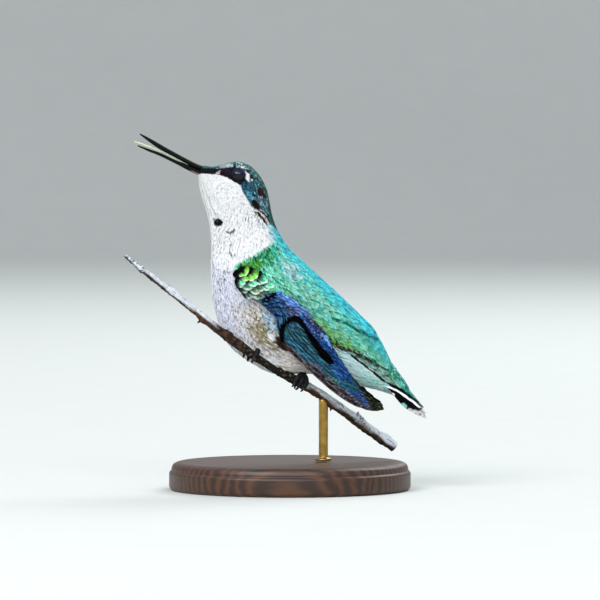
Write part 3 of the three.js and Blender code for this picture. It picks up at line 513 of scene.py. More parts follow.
# The last two numbers, where given, are the least distance from the bird's middle plane and the one side that
# the mark is on.
HEAD_MARKS = [
    # the slate crown and nape
    ([(-17, 43.9), (-13.3, 43.8), (-11.4, 43.1), (-9.2, 43), (-6.9, 42.9), (-6.2, 42.1), (-6.2, 40.4),
     (-6.7, 39.8), (-7.5, 39.6), (-6.9, 38.1), (-5.6, 35.9), (-4.7, 34.4), (-3.7, 33.1), (-1.5, 31.4),
     (-0.4, 30.5), (1.5, 29.2), (5.4, 35), (3.2, 49), (-17, 49)], 0.16, SLATE, TEAL, 0.6),
    ([(-4.7, 44), (-1, 42), (0.5, 37), (-0.5, 32.5), (-2.2, 36.5), (-4.4, 40.6), (-6, 43.2)], 0.5,
     ink("071c24"), ink("2c7c7c"), 0.7),
    # the crown's top, and the bright green rim of the forehead, a painted sheen along its contour
    ([(-12, 44), (-9.2, 44.2), (-6, 44), (-3.4, 42.4), (-1.4, 38.6), (1, 38), (0, 46), (-8, 47), (-12, 46.9)],
     0.2, ink("0c4038"), ink("3fa382"), 0.9),
    ([(-16.1, 43.6), (-13.1, 43.5), (-11.4, 43.9), (-11.6, 42.9), (-13.5, 42.7), (-15.7, 42.8)], 0.12,
     ink("164a58"), ink("459696"), 0.5),
    ([(-17, 45.1), (-16.1, 43.5), (-13.3, 43.38), (-11.8, 43.75), (-11.2, 46), (-17, 46.9)], 0.08,
     ink("2f9a3c"), LIME, 0.7),
    # the pale brow, parted by a black bar
    ([(-12, 43.7), (-10.6, 44.1), (-10.2, 43.6), (-10.6, 42.9), (-11.8, 42.8)], 0.15, ink("8f8c9b"), LILAC,
     0.2, 1),
    ([(-10.6, 44.3), (-8.9, 44.6), (-8.8, 43.1), (-9.8, 42.9), (-10.5, 43.4)], 0.12, ink("9fc9cc"),
     ink("eafafa"), 0.2, 1.1),
    ([(-8.4, 44.5), (-7.4, 44.3), (-6.2, 43.5), (-5.5, 42.6), (-6.4, 42.6), (-7.3, 42.9), (-8.3, 43.1)], 0.1,
     ink("9fd2d6"), ink("eafafa"), 0.2, 1.3),
    ([(-8.95, 44.6), (-8.35, 44.6), (-8.25, 43), (-8.8, 43)], 0.08, BLACK, NAVY, 0.3, 1.2),
    # the mask
    ([(-17, 43.15), (-13.5, 42.95), (-11.4, 43), (-9, 43.3), (-6.4, 42.9), (-6, 41.7), (-6.1, 40.2),
     (-6.7, 39.5), (-7.6, 39.3), (-9, 40.3), (-10.5, 41.2), (-12, 41.6), (-14, 41.8), (-17, 41.7)], 0.1,
     BLACK, PLUM, 0.3),
    ([(-12.7, 42.1), (-11.6, 42.6), (-11.8, 41.8), (-12.6, 41.7)], 0.08, ink("d9b8c4"), WHITE, 0.05),
    ([(-11.4, 43), (-9.6, 43.1), (-9.4, 41.6), (-10.6, 41.4)], 0.6, ink("120b18"), ink("33233c"), 0.3),
    # the cheek
    ([(-7.1, 40), (-5.4, 40.2), (-4.6, 39.1), (-4.5, 37.4), (-5.2, 36.4), (-6, 37.4), (-6.9, 38.7)], 0.3,
     ink("0c344e"), ink("3c7a98"), 0.6),
    ([(-6.3, 38.4), (-5.4, 38), (-4.4, 37.4), (-4, 36.3), (-4.9, 35.7), (-5.8, 36.8)], 0.25, ink("2a7c9e"),
     ink("74c2d6"), 0.4),
    # the cream zigzag below the nape
    ([(-4.8, 34.7), (-3.9, 34.5), (-2.8, 34), (-1.7, 32.9), (-1, 31.4), (-1.5, 30.9), (-2.8, 31.9),
     (-4.1, 33.2)], 0.15, ink("c9c4aa"), WHITE, 0.1),
]
# Small spots and lines, laid over the flecks.
SPOTS = [
    # the white tuft, and painted shadow in the hollow under the wing's root
    ([(-1.5, 7.6), (0, 7.4), (0.6, 6.7), (0, 6.1), (-1.2, 6.5)], 0.2, WHITE, WHITE, 0.05),
    ([(0, 7), (1.2, 6.9), (2.4, 6.2), (4.4, 4.4), (3.6, 3.7), (2, 4), (0.6, 5)], 0.15, BLACK, RUST * 0.4,
     0.1),
    # behind the eye: a white wedge, black dabs and a white dot
    ([(-6.5, 42.5), (-5.2, 41.62), (-5.42, 39.95), (-6.2, 40.6)], 0.07, WHITE, WHITE, 0.05),
    ([(-6.19, 42.95), (-5.59, 42.7), (-5.28, 41.75), (-5.74, 41.85)], 0.08, BLACK, BLACK, 0.3, 1.2),
    ([(-5.5, 41.58), (-4.7, 41.65), (-4.55, 40.72), (-5.25, 40.6)], 0.08, BLACK, BLACK, 0.3),
    (disc(-4.9, 40.45, 0.26), 0.08, WHITE, WHITE, 0.05),
    # the nape
    ([(-3.8, 38.6), (-2.4, 38.7), (-2.2, 37.2), (-2.8, 36.9), (-3.7, 37.5)], 0.15, ink("2a0709"), MAROON, 0.3,
     1, LEFT),
    ([(-2.7, 37.6), (-1.9, 37.4), (-1.7, 36.4), (-2.5, 36.4)], 0.15, BLACK, SOOT, 0.3, 0.9),
    ([(-5.1, 36.1), (-4.1, 36.3), (-3.1, 35), (-3.3, 34), (-4.4, 34.3), (-4.9, 35.3)], 0.15, ink("2a1408"),
     ink("0c0806"), 0.3),
    ([(-2.6, 38.6), (-1.9, 37.4), (-1.5, 36.1), (-1.2, 33.5), (-0.4, 31), (0.4, 29.7), (2.1, 30.7),
     (0, 38.3)], 0.35, ink("03100e"), ink("126456"), 0.5),
    ([(-4.4, 33.7), (-3.3, 33.5), (-2.9, 32.6), (-2.2, 32.2), (-1.9, 31.3), (-1.5, 30.9), (-1.7, 30.8),
     (-2.4, 31.4), (-2.7, 32.1), (-3.4, 32.6), (-3.6, 33.2), (-4.4, 33.4)], 0.04, BLACK, SOOT, 0.2),
    ([(-3.6, 34.2), (-2.5, 33.6), (-1.4, 32.3), (-1, 31.3), (-1.2, 31.2), (-1.7, 32.3), (-2.5, 33.2),
     (-3.5, 34)], 0.04, BLACK, SOOT, 0.2),
    # the young male's few dark throat feathers, which differ from side to side
    (disc(-12.2, 31.3, 0.92), 0.1, BLACK, BLACK, 0.5, 0, LEFT),
    # a painted highlight on the dark throat feather
    (disc(-12.35, 31.55, 0.24), 0.12, ink("4a4f48"), ink("4a4f48"), 0.3, 0, LEFT),
    (disc(-13.05, 31.95, 0.30), 0.12, ink("9a9cb4"), ink("9a9cb4"), 0.3, 0, LEFT),
    # a dark crescent, painted shadow under a round feather's lower edge
    ([(-10.79, 29.63), (-10.32, 29.11), (-9.68, 28.8), (-9.03, 29.09), (-8.5, 29.9), (-8.77, 30.05),
     (-9.18, 29.48), (-9.72, 29.24), (-10.19, 29.43)], 0.12, BLACK, BLACK, 0.4, 0, LEFT),
    (disc(-9.5, 26.4, 0.25), 0.12, NAVY, GREY, 0.2, 0, LEFT),
    ([(-9.9, 25.6), (-9.4, 24.9), (-8.9, 23.9), (-9.3, 23.9), (-9.8, 24.7)], 0.12, BLACK, GREY, 0.2, 0, LEFT),
    (disc(-8.6, 24.3, 0.22), 0.12, DEEP_GREEN, GREY, 0.2, 0, LEFT),
    (disc(-10.8, 32.6, 0.45), 0.1, BLACK, SOOT, 0.4, 0, RIGHT),
    (disc(-12.6, 30.2, 0.38), 0.1, SOOT, BLACK, 0.4, 0, RIGHT),
    (disc(-9.8, 28.0, 0.30), 0.12, NAVY, GREY, 0.3, 0, RIGHT),
]
WING_MARKS = [
    # the green shoulder with its dark front
    ([(-8.8, 23.6), (-2.8, 22.8), (1.1, 19.6), (3.9, 16.8), (0.4, 16.2), (-2.8, 16.5), (-6, 16.8),
     (-8.4, 17.8)], 0.5, ink("28a678"), MINT, 1),
    ([(-8.2, 22.8), (-4, 22.6), (-2.6, 19.8), (-4.6, 18.2), (-8, 19)], 0.5, LIME, GOLD_GREEN, 1),
    ([(-6.7, 17.6), (-1.5, 17.2), (-0.6, 14.6), (-2.8, 12.5), (-5.8, 14)], 0.4, ink("0b4444"), ink("4c9084"),
     0.7),
    ([(-4.3, 17.4), (-2.8, 17.2), (-0.7, 15.7), (-1.2, 15.2), (-3.2, 15.6), (-4.4, 16.5)], 0.25,
     ink("3c6a4c"), ink("b8d2a0"), 0.7),
    ([(-9.5, 23.6), (-8.1, 22.9), (-7.3, 21.1), (-7.4, 19.1), (-6.8, 17.6), (-5.9, 16.3), (-5.6, 14.8),
     (-4.3, 14.1), (-2.8, 13.6), (-1.4, 13.1), (-1.9, 12.2), (-4.3, 12.6), (-6.5, 13.3), (-8.6, 16.6),
     (-10, 20.6)], 0.3, BLACK, DEEP_GREEN, 0.3),
    # the navy bend of the wing, the bright streak above it and the speckled violet zone below
    ([(-2.8, 15.2), (-1.5, 16.1), (0, 16.8), (0.9, 15.9), (2.8, 14.4), (5.4, 13.1), (6.7, 11.2), (5.6, 10.1),
     (4.5, 11.2), (2.4, 11.2), (0.8, 10.3), (0.4, 8.8), (-1.6, 10.3), (-2.9, 12.6)], 0.35, NAVY,
     ink("2c6096"), 0.6),
    ([(-3, 14.8), (-1.5, 16.2), (0.2, 17), (1.5, 15.9), (0.4, 15.4), (-1.3, 14.9), (-2.4, 13.6)], 0.25, ARCH,
     NAVY, 0.3),
    ([(-0.2, 17.8), (1.7, 17.2), (3.9, 15.7), (6, 14.2), (7.9, 12.6), (6.9, 11.7), (4.7, 12.9), (2.6, 14.2),
     (0.7, 15.7)], 0.3, ink("2560b4"), ink("96c0f0"), 0.6),
    ([(2.6, 14), (4.7, 12.9), (7.1, 11.7), (9.2, 9.6), (11.2, 7.4), (10.1, 7), (8.2, 8.7), (6, 10.5),
     (4.5, 11.7)], 0.3, ink("22285a"), ink("8a7fae"), 0.5),
    # the blue band along the upper side, and down the middle to the tip
    ([(5.4, 12.3), (7.1, 10.9), (8.8, 9), (10.5, 7.1), (12.4, 5.3), (13.9, 3.4), (15.3, 0.8), (16.3, -1),
     (17.6, -3.2), (19.6, -6), (20.9, -8.2), (19.6, -8.2), (17.4, -6.9), (15.3, -5.1), (13.5, -2.8),
     (12.5, 0.4), (11.2, 2.4), (9.2, 4.7), (7.3, 7.5), (6, 9.9), (4.9, 11.4)], 0.4, ink("0a3c7c"),
     ink("3a90d2"), 0.7),
    ([(13.6, -2.6), (16.6, -2.4), (18.2, -4.6), (17.4, -5.6), (15.2, -4.4)], 0.5, ink("0a4c5e"),
     ink("3fa8a8"), 0.6),
    ([(15.2, -4.2), (17.4, -5), (19.4, -6.4), (20.8, -8.2), (19.6, -8.3), (17.4, -6.6)], 0.3, ink("183a86"),
     ink("5078c8"), 0.6),
    # a pale blue line along the band's upper edge, a painted highlight
    ([(9.8, 7.9), (11.2, 7.1), (12.7, 5.4), (12.2, 4.8), (10.9, 5.9), (9.8, 7)], 0.15, ink("5f9fe0"),
     ink("c4defa"), 0.4),
    ([(11.9, 5.9), (13.7, 5.4), (14.9, 3.4), (16.2, 0.8), (17.4, -1.2), (17, -1.6), (15.4, 0.6), (14, 2.6),
     (12.8, 4)], 0.2, ARCH, NAVY, 0.3),
    # inside the arch the feathers are dark teal, and below it deep blue
    ([(2.4, 9), (4.7, 9.5), (6, 8), (7.7, 5.6), (10.1, 2.4), (9.2, 2.2), (6.7, 4.5), (4.5, 6.3), (2.6, 7.3)],
     0.35, ink("052e40"), ink("46a0a8"), 0.5),
    # the speckled dark lower edge, the brown root and the olive-black tip
    ([(1.8, 5.8), (5.4, 2.7), (7.8, 1.2), (10.3, -0.6), (12.8, -2.4), (15.2, -4.4), (17.7, -6.5),
     (20.2, -8.4), (21.5, -10.4), (16, -10.4), (10, -6.2), (5, -1), (1.4, 3)], 0.35, BROWN_GREY,
     ink("6f6876"), 0.15),
    # the brown root, near black as painted shadow where the wing's edge meets the belly
    ([(0, 7.3), (1.8, 6.5), (3.4, 4.9), (5.2, 3), (4.1, 1.6), (1.4, 3), (0.2, 4.7)], 0.3, ink("0e0a08"),
     ink("4c3a2a"), 0.15),
    ([(16.2, -0.7), (17.4, -1.6), (19, -3.2), (21.2, -4.6), (22.2, -6), (24.6, -6.8), (25.3, -8.6),
     (22.6, -10.2), (20.9, -9.2), (20.6, -7.9), (19.5, -6.3), (18.3, -4.5), (17, -2.8)], 0.3, OLIVE_BLACK,
     ink("343a1e"), 0.15),
    ([(20, -8), (21.1, -6.5), (25.3, -7), (25.3, -10), (22.1, -10.6), (18.3, -9.6)], 0.4, OLIVE_BLACK,
     ink("3a3f26"), 0.15),
]
# Black lines laid over the wing's flecks: the arch, a painted shadow under the coverts' edge, and the front
# edge of the shoulder.
WING_LINES = [
    ([(1, 6.5), (0.9, 9.1), (1.5, 10.2), (2.7, 11.2), (4.1, 11.7), (5.3, 11.4), (6.3, 10.2), (7.3, 8.6),
     (9.2, 6.1), (10.6, 4.4), (11.9, 3), (12.7, 1.3), (11.5, 1.1), (9.7, 2.8), (8.5, 4.5), (7.2, 6.6),
     (6.1, 8.7), (4.8, 10.1), (3.5, 10.3), (2.5, 9.5), (2.1, 8), (2, 5.8), (1.3, 5.2)], 0.12, ARCH, ARCH,
     0.1),
    ([(-9.7, 23.6), (-8.5, 23), (-8.2, 21.3), (-8.3, 19.5), (-7.4, 17.6), (-6.2, 15.9), (-5.4, 14.6),
     (-4.1, 14), (-2.9, 13.9), (-2.6, 13), (-4.3, 12.2), (-6.5, 12.6), (-9.2, 16), (-10.4, 20.6)], 0.15, ARCH,
     DEEP_GREEN * 0.3, 0.2),
]

BELLY = [(-9.6, 14), (-6.7, 14.4), (-2.8, 14), (1.3, 8.4), (4, 4.7), (2, 1.8), (-3.6, 3), (-8, 7)]
WING_BEND = [(2, 14.6), (7.5, 12), (12, 6.8), (10.4, 6.2), (6, 10), (3, 12)]
WING_LOWER_EDGE = [
    (2, 6), (5.4, 3.6), (10.3, -0.2), (16.1, -5.2), (21, -8.6), (22, -10.4), (13, -8.6), (5, -1),
]
TAIL_SIDE = [(16, 4), (24, -0.5), (31, -7.6), (33, -6), (26, 4), (18, 8)]
# Flecks strewn over a patch: outline, size, how rare they are, colour and gloss, then the limits as above.
FLECKS = [
    # crown and nape
    ([(-11.4, 44.6), (-8, 43.4), (-6, 42.4), (-4.4, 40.6), (-5, 37), (-4, 34.6), (-1, 31.6), (2, 31), (2, 46),
     (-9, 47)], 0.4, 0.14, ink("05121a"), 0.4),
    ([(-11.4, 44.6), (-7, 43.4), (-5.4, 42.2), (-4.4, 40.2), (-5, 37), (-3.4, 34.6), (-1.6, 33), (1, 33),
     (2, 46), (-9, 47)], 0.32, 0.44, ink("86cbd2"), 0.5),
    ([(-6.8, 39.8), (-5.2, 40), (-4.4, 38.2), (-4.6, 36.2), (-6.2, 37.2)], 0.34, 0.4, ink("0a2038"), 0.4),
    ([(-3.8, 37.2), (-1.6, 36.8), (-1.4, 34.2), (-2.6, 33.6), (-3.6, 34.8)], 0.32, 0.35, ink("b8b4d8"), 0.2),
    ([(-2.8, 38.4), (-1.6, 38.2), (-1.2, 36.4), (-2.2, 36.2)], 0.3, 0.45, ink("cfe0dc"), 0.2, 0.7),
    # the zigzag below the nape and the flecks on the white under it
    ([(-5.2, 35), (-3.9, 34.8), (-2.6, 34.3), (-1.5, 33.1), (-0.8, 31.4), (-1.6, 30.5), (-3, 31.6),
     (-4.4, 33.2)], 0.26, 0.55, BLACK, 0.2),
    ([(-6.8, 33.2), (-5.2, 33.6), (-3.4, 32.6), (-1.8, 31), (-2.2, 30), (-4.6, 30.6), (-6.6, 31.6)], 0.36,
     0.52, ink("5f7f96"), 0.2),
    # the grey and olive of the belly
    (BELLY, 0.34, 0.34, ink("8a8266"), 0.1),
    (BELLY, 0.34, 0.42, ink("f4f0e4"), 0.05),
    ([(-4.6, 12), (-1.5, 10.5), (2.5, 5.5), (1.5, 3.2), (-3, 4.4), (-5.2, 8)], 0.3, 0.52, ink("453e2a"), 0.1),
    ([(-5.4, 6.4), (0.2, 5.2), (3.4, 2.6), (2.6, 0.8), (-0.6, 2), (-4.6, 4.4)], 0.32, 0.5, ink("c2b0ca"),
     0.05),
    # grey streaks on the side of the breast
    ([(-12.4, 16), (-11.7, 15.9), (-11, 18.7), (-9.9, 20.1), (-8.9, 21.1), (-9.1, 21.7), (-10.4, 21),
     (-11.7, 19.6)], 0.28, 0.4, ink("39505e"), 0.1),
    # the back
    ([(-6, 22.6), (-2, 25.5), (2, 24), (8, 17), (15, 10.5), (21, 3.5), (24, -1), (20, 1.6), (13, 5.8),
     (5, 10.6), (-1, 16), (-7, 18)], 0.5, 0.66, ink("12947a"), 0.9),
    ([(-8, 22.4), (-3, 25.2), (0.2, 27.4), (1.4, 24), (-2, 20.6), (-7, 20)], 0.4, 0.46, ink("08482c"), 0.8),
    ([(-1, 27), (3, 24.6), (10, 17), (17, 10), (22.4, 3.6), (18.6, 4.2), (9, 11.6), (1, 18.4)], 0.62, 0.52,
     ink("2cccd8"), 0.9),
    ([(-3, 24), (2, 24), (8, 17), (15, 10.5), (21, 3.5), (24, -1), (20, 1.6), (13, 5.8), (5, 10.6), (-1, 16),
     (-6, 18)], 0.4, 0.64, ink("b8fbe2"), 0.8),
    ([(8, 10.8), (10.4, 10.6), (12.8, 8.4), (15.6, 6.2), (18.6, 3.9), (14.8, 4), (12.7, 5.2), (8.6, 9)], 0.4,
     0.42, ink("86d24a"), 0.9),
    ([(8.6, 9), (10.6, 8.4), (14, 5.8), (20, 3), (21.5, 1.1), (15.7, 3.4), (11.4, 5.4), (8.4, 7.9)], 0.36,
     0.35, ink("2e2410"), 0.3),
    ([(14.8, 4.2), (16.6, 3.7), (20.9, 1.2), (24.7, -1), (26.7, -3), (24.9, -3.2), (20.2, 0.4), (16.6, 3.2)],
     0.3, 0.35, ink("2c4a44"), 0.2),
]
WING_FLECKS = [
    ([(-1.5, 16.4), (2.8, 14.6), (7.5, 11.4), (6, 8.6), (0.6, 8.6), (-2.6, 12.6)], 0.28, 0.52, ink("3f7ab4"),
     0.5),
    (WING_BEND, 0.26, 0.46, ink("8480ac"), 0.3),
    (WING_BEND, 0.24, 0.4, ink("1e1224"), 0.3),
    ([(6, 12.5), (12.7, 5.4), (16, -0.6), (20.9, -8.2), (17, -7), (13, -2), (9, 5), (5, 11)], 0.36, 0.36,
     ink("0a2450"), 0.5),
    ([(11.5, -1), (13.9, -2.2), (14.4, -3.6), (12.6, -3.6), (11, -2.2)], 0.28, 0.42, ink("5f9f7c"), 0.4),
    (WING_LOWER_EDGE, 0.26, 0.45, ink("77717f"), 0.2),
    (WING_LOWER_EDGE, 0.24, 0.66, ink("5c3836"), 0.2),
    ([(5, 3), (10.3, -0.8), (16.1, -6.2), (21, -9.2), (22, -10.4), (13, -8.6), (5, -1)], 0.28, 0.5,
     ink("0c0d0e"), 0.2),
    ([(17, -2), (21, -5.6), (25.5, -7), (25, -10), (18, -9.6)], 0.26, 0.55, ink("55593c"), 0.2),
]


def outline_distance(x, z, outline):
    """The distance of places from an outline in the side view, positive inside it."""
    corners = np.array(outline, float)
    place = np.stack([x, z], -1)
    nearest = np.full(x.shape, 1e9)
    inside = np.zeros(x.shape, bool)
    for a, b in zip(corners, np.roll(corners, -1, axis=0)):
        way = b - a
        share = np.clip(((place - a) @ way) / (way @ way), 0, 1)
        nearest = np.minimum(nearest, np.linalg.norm(place - a - share[..., None] * way, axis=-1))
        crosses = (a[1] > z) != (b[1] > z)
        inside ^= crosses & (x < a[0] + (z - a[1]) * way[0] / (way[1] if way[1] else 1e-9))
    return np.where(inside, nearest, -nearest)


def cover(points, edge, outline, softness, least=0.0, side=0):
    """The rows of points near an outline in the side view, and how far the outline covers each of them."""
    low, high = np.min(outline, 0) - softness - 0.3, np.max(outline, 0) + softness + 0.3
    near = np.all((points[:, [0, 2]] > low) & (points[:, [0, 2]] < high), axis=1).nonzero()[0]
    distance = outline_distance(points[near, 0], points[near, 2], outline) + edge[near]
    weight = smooth(-softness, softness, distance)
    if least:
        weight = weight * smooth(least - 0.3, least + 0.3, np.abs(points[near, 1]))
    if side:
        weight = weight * smooth(-0.2, 0.2, side * points[near, 1])
    return near, weight


def lay_on(layers, near, weight, values):
    for layer, value in zip(layers, values):
        share = weight if layer.ndim == 1 else weight[:, None]
        layer[near] = lerp(layer[near], value, share)


def paint_marks(marks, points, looks, ragged):
    """Lays patches of colour, in place, over rows of colour, tip colour and gloss at points."""
    edge = patches(points, 0.9, 3) * ragged
    for outline, softness, base, end, shine, *limits in marks:
        lay_on(looks, *cover(points, edge, outline, softness, *limits), (base, end, shine))


def paint_flecks(flecks, points, looks):
    """Lays flecks of colour, in place, over rows of colour, tip colour and gloss at points."""
    edge = patches(points, 0.8, 4) * 0.4
    for number, (outline, size, rarity, shade, shine, *limits) in enumerate(flecks):
        near, weight = cover(points, edge, outline, 0.3, *limits)
        spots = smooth(rarity - 0.05, rarity + 0.15, patches(points[near], size, 80 + number))
        lay_on(looks, near, weight * spots, (shade, shade, shine))


def ground(points, one, other, mottling, tip, gloss):
    """Rows of colour, tip colour and gloss before any marks, mottled by (size, seed, mean, range)."""
    size, seed, mean, span = mottling
    share = np.clip(mean + span * patches(points, size, seed)[:, None], 0, 1)
    return lerp(one, other, share), np.tile(tip, (len(points), 1)), np.full(len(points), gloss)


def shaped(looks, shape):
    """Rows of colour, tip colour and gloss, laid out again as the places that they are of."""
    colour, tip, gloss = looks
    return colour.reshape(*shape, 3), tip.reshape(*shape, 3), gloss.reshape(shape)


CHIN = np.array([-16.2, 0, 42.6])
THROAT_STREAKS = 34


def markings(p):
    """Colour, tip colour and gloss of the coat at places on the body."""
    points = p.reshape(-1, 3)
    colour, tip, gloss = ground(points, WHITE, LILAC, (1.3, 5, 0.10, 0.30), WHITE, 0.05)
    # grey streaks fan out from the chin down the front of the throat
    from_chin = points - CHIN
    angle = np.arctan2(-from_chin[:, 2], from_chin[:, 0] + 0.25 * np.abs(points[:, 1]))
    throat = smooth(30, 34, points[:, 2]) * smooth(0.85, 1.1, angle)
    fan = np.sin(angle * THROAT_STREAKS + 1.2 * patches(points, 1.3, 5))
    streak = 0.75 * (throat * smooth(0.35, 0.95, fan))[:, None]
    looks = (lerp(colour, ink("aebfb4"), streak), lerp(tip, ink("c2cfc6"), streak), gloss)
    paint_marks(BODY_MARKS, points, looks, 0.15)
    paint_marks(HEAD_MARKS, points, looks, 0.10)
    paint_flecks(FLECKS, points, looks)
    paint_marks(SPOTS, points, looks, 0.05)
    # glossy feathers vary in shade in fine patches
    head = smooth(29, 33, points[:, 2])
    scaly = lerp(patches(points, 0.75, 6), 1.3 * patches(points, 0.42, 8), head)
    vary = np.exp(0.34 * gloss * scaly)[:, None]
    colour, tip, gloss = looks
    return shaped((colour * vary, tip * vary, gloss), p.shape[:-1])


# ---------------------------------------------------------------- materials


class Shader:
    """Builds a material's nodes. A socket is linked, and any other value is set."""

    def __init__(self, name, **values):
        self.material = bpy.data.materials.new(name)
        self.material.use_nodes = True
        self.tree = self.material.node_tree
        self.principled = self.tree.nodes["Principled BSDF"]
        self.give(self.principled, **values)

    def feed(self, socket, value):
        if isinstance(value, bpy.types.NodeSocket):
            self.tree.links.new(value, socket)
        else:
            socket.default_value = value

    def give(self, node, **values):
        for key, value in values.items():
            self.feed(node.inputs[key.replace("_", " ")], value)

    def add(self, kind, settings=None, **values):
        node = self.tree.nodes.new("ShaderNode" + kind)
        for key, value in (settings or {}).items():
            setattr(node, key, value)
        self.give(node, **values)
        return node

    def attribute(self, name, output="Color"):
        return self.add("Attribute", {"attribute_name": name}).outputs[output]

    def maths(self, operation, a, b=0.0, clamp=False):
        node = self.add("Math", {"operation": operation, "use_clamp": clamp})
        self.feed(node.inputs[0], a)
        self.feed(node.inputs[1], b)
        return node.outputs[0]

    def mix(self, share, a, b):
        """Two colours mixed, where inputs 6 and 7 of the node are its colours."""
        node = self.add("Mix", {"data_type": "RGBA"})
        self.feed(node.inputs[0], share)
        for number, value in ((6, a), (7, b)):
            self.feed(node.inputs[number], value if isinstance(value, bpy.types.NodeSocket) else (*value, 1))
        return node.outputs[2]

    def ramp(self, share, *stops):
        node = self.add("ValToRGB", Fac=share)
        elements = node.color_ramp.elements
        while len(elements) < len(stops):
            elements.new(0.5)
        for element, (position, colour) in zip(elements, stops):
            element.position = position
            element.color = (*colour, 1)
        return node.outputs[0]

    def mask(self, share, low, high, most=1):
        """Grey from black to most, as the share goes from low to high."""
        return self.ramp(share, (low, (0, 0, 0)), (high, (most, most, most)))

    def place(self, scale=(1, 1, 1)):
        """Places in millimetres, stretched by a scale."""
        node = self.add("Mapping", Vector=self.add("TexCoord").outputs["Object"])
        node.inputs["Scale"].default_value = [1000 * k for k in scale]
        return node.outputs[0]

    def noise(self, vector, scale, detail=4.0, roughness=0.6):
        node = self.add("TexNoise", Vector=vector, Scale=scale, Detail=detail, Roughness=roughness)
        return node.outputs[0]

    def bump(self, height, strength, distance):
        node = self.add("Bump", Height=height, Strength=strength, Distance=distance * MM)
        self.give(self.principled, Normal=node.outputs[0])

    def colour(self, socket):
        self.give(self.principled, Base_Color=socket)

    def roughness(self, share, low, high):
        node = self.add("MapRange", Value=share, To_Min=low, To_Max=high)
        self.give(self.principled, Roughness=node.outputs[0])


def plumage_material(name, barb, sheen, speckle):
    """Feathers: painted by the paint attribute, with barbs slanting off the shaft by the blade attribute."""
    s = Shader(name, Sheen_Weight=sheen, Sheen_Roughness=0.5, Specular_IOR_Level=0.18)
    paint = s.attribute("paint")
    blade = s.add("SeparateXYZ", Vector=s.attribute("blade", "Vector"))
    along_it, out_of_it, gloss = (blade.outputs[k] for k in range(3))
    slant = s.maths("SUBTRACT", along_it, s.maths("MULTIPLY", s.maths("ABSOLUTE", out_of_it), 1.7))
    wobble = s.noise(s.place(), 3.0, 3.0)
    phase = s.maths("ADD", s.maths("MULTIPLY", slant, 6.2832 / barb), s.maths("MULTIPLY", wobble, 5.0))
    barbs = s.maths("SINE", phase)
    grain = s.maths("SUBTRACT", s.noise(s.place(), 6.0, 3.0), 0.5)
    # glossy feathers show their barbs as light and dark lines, soft white ones hardly do
    strength = s.maths("ADD", s.maths("MULTIPLY", gloss, 0.14), 0.03)
    ripple = s.maths("ADD", barbs, s.maths("MULTIPLY", grain, speckle))
    shade = s.maths("ADD", s.maths("MULTIPLY", ripple, strength), s.maths("SUBTRACT", 0.98, strength))
    dark = s.add("VectorMath", {"operation": "SCALE"}, Scale=shade)
    s.feed(dark.inputs[0], paint)
    s.colour(dark.outputs[0])
    # black feathers swallow the light, so there the surface mirrors only its own black
    brightness = s.add("RGBToBW", Color=paint).outputs[0]
    darkness = s.maths("SUBTRACT", 0.9, s.maths("MULTIPLY", brightness, 16.0), clamp=True)
    s.give(s.principled, Metallic=s.maths("MAXIMUM", s.maths("MULTIPLY", gloss, 0.35), darkness))
    s.roughness(gloss, 0.75, 0.38)
    s.bump(barbs, 0.4, 0.02)
    return s.material


def horn_material():
    """Satin black horn with long streaks."""
    s = Shader("horn_black", Specular_IOR_Level=0.08)
    place = s.place((0.35, 1, 1))
    streak = s.noise(place, 2.6, 6.0, 0.7)
    paint = s.attribute("paint")
    s.colour(s.mix(s.maths("MULTIPLY", streak, 0.5), paint, ink("050607")))
    s.roughness(streak, 0.34, 0.58)
    s.bump(s.noise(place, 5.0, 8.0, 0.7), 0.35, 0.05)
    return s.material


def tongue_material():
    """Moist, pale green flesh."""
    s = Shader("tongue_pale", Specular_IOR_Level=0.5, Roughness=0.25)
    s.colour(s.ramp(s.noise(s.place((0.4, 1, 1)), 2.2), (0.3, ink("a9bd86")), (0.8, ink("dfe6c3"))))
    s.bump(s.noise(s.place(), 6.0), 0.2, 0.03)
    return s.material


def eye_material():
    """Navy above and black below, under a wet gloss: the navy is a painted reflection of the sky."""
    s = Shader("eye_wet", Roughness=0.18, Specular_IOR_Level=0.32)
    veins = s.noise(s.place(), 1.5, 5.0, 0.7)
    paint = s.attribute("paint")
    s.colour(s.mix(s.maths("MULTIPLY", veins, 0.6, clamp=True), paint, ink("04060c")))
    return s.material


def lid_material():
    """Blue-black skin in fine folds."""
    s = Shader("lid_skin", Specular_IOR_Level=0.25)
    folds = s.noise(s.place(), 5.0, 6.0, 0.65)
    s.colour(s.ramp(folds, (0.3, ink("030407")), (0.75, ink("0c0f17"))))
    s.roughness(folds, 0.45, 0.75)
    s.bump(folds, 0.6, 0.08)
    return s.material


def skin_material():
    """The skin under the feathers, in the coat's own markings, with the pits that they grow from."""
    s = Shader("skin_under", Roughness=0.85, Specular_IOR_Level=0.2)
    paint = s.attribute("paint")
    pits = s.add("TexVoronoi", {"feature": "F1"}, Vector=s.place(), Scale=1.6).outputs["Distance"]
    s.colour(s.mix(s.maths("MULTIPLY", pits, 0.12, clamp=True), paint, (0.05, 0.06, 0.07)))
    s.bump(pits, 0.6, 0.2)
    return s.material


def foot_material():
    """Near-black skin in small scales."""
    s = Shader("foot_skin", Specular_IOR_Level=0.25)
    scales = s.add("TexVoronoi", {"feature": "DISTANCE_TO_EDGE"}, Vector=s.place(), Scale=3.2)
    edge = scales.outputs["Distance"]
    s.colour(s.ramp(edge, (0.0, ink("020202")), (0.35, ink("0e0b0a"))))
    s.roughness(s.noise(s.place(), 4.0), 0.5, 0.8)
    s.bump(edge, 0.8, 0.12)
    return s.material


def claw_material():
    """Black horn, smoother than the bill's."""
    s = Shader("claw_horn", Specular_IOR_Level=0.6)
    streak = s.noise(s.place((1, 1, 0.4)), 4.0, 5.0)
    s.colour(s.ramp(streak, (0.3, ink("050505")), (0.8, ink("1d1a19"))))
    s.roughness(streak, 0.22, 0.4)
    s.bump(streak, 0.3, 0.03)
    return s.material


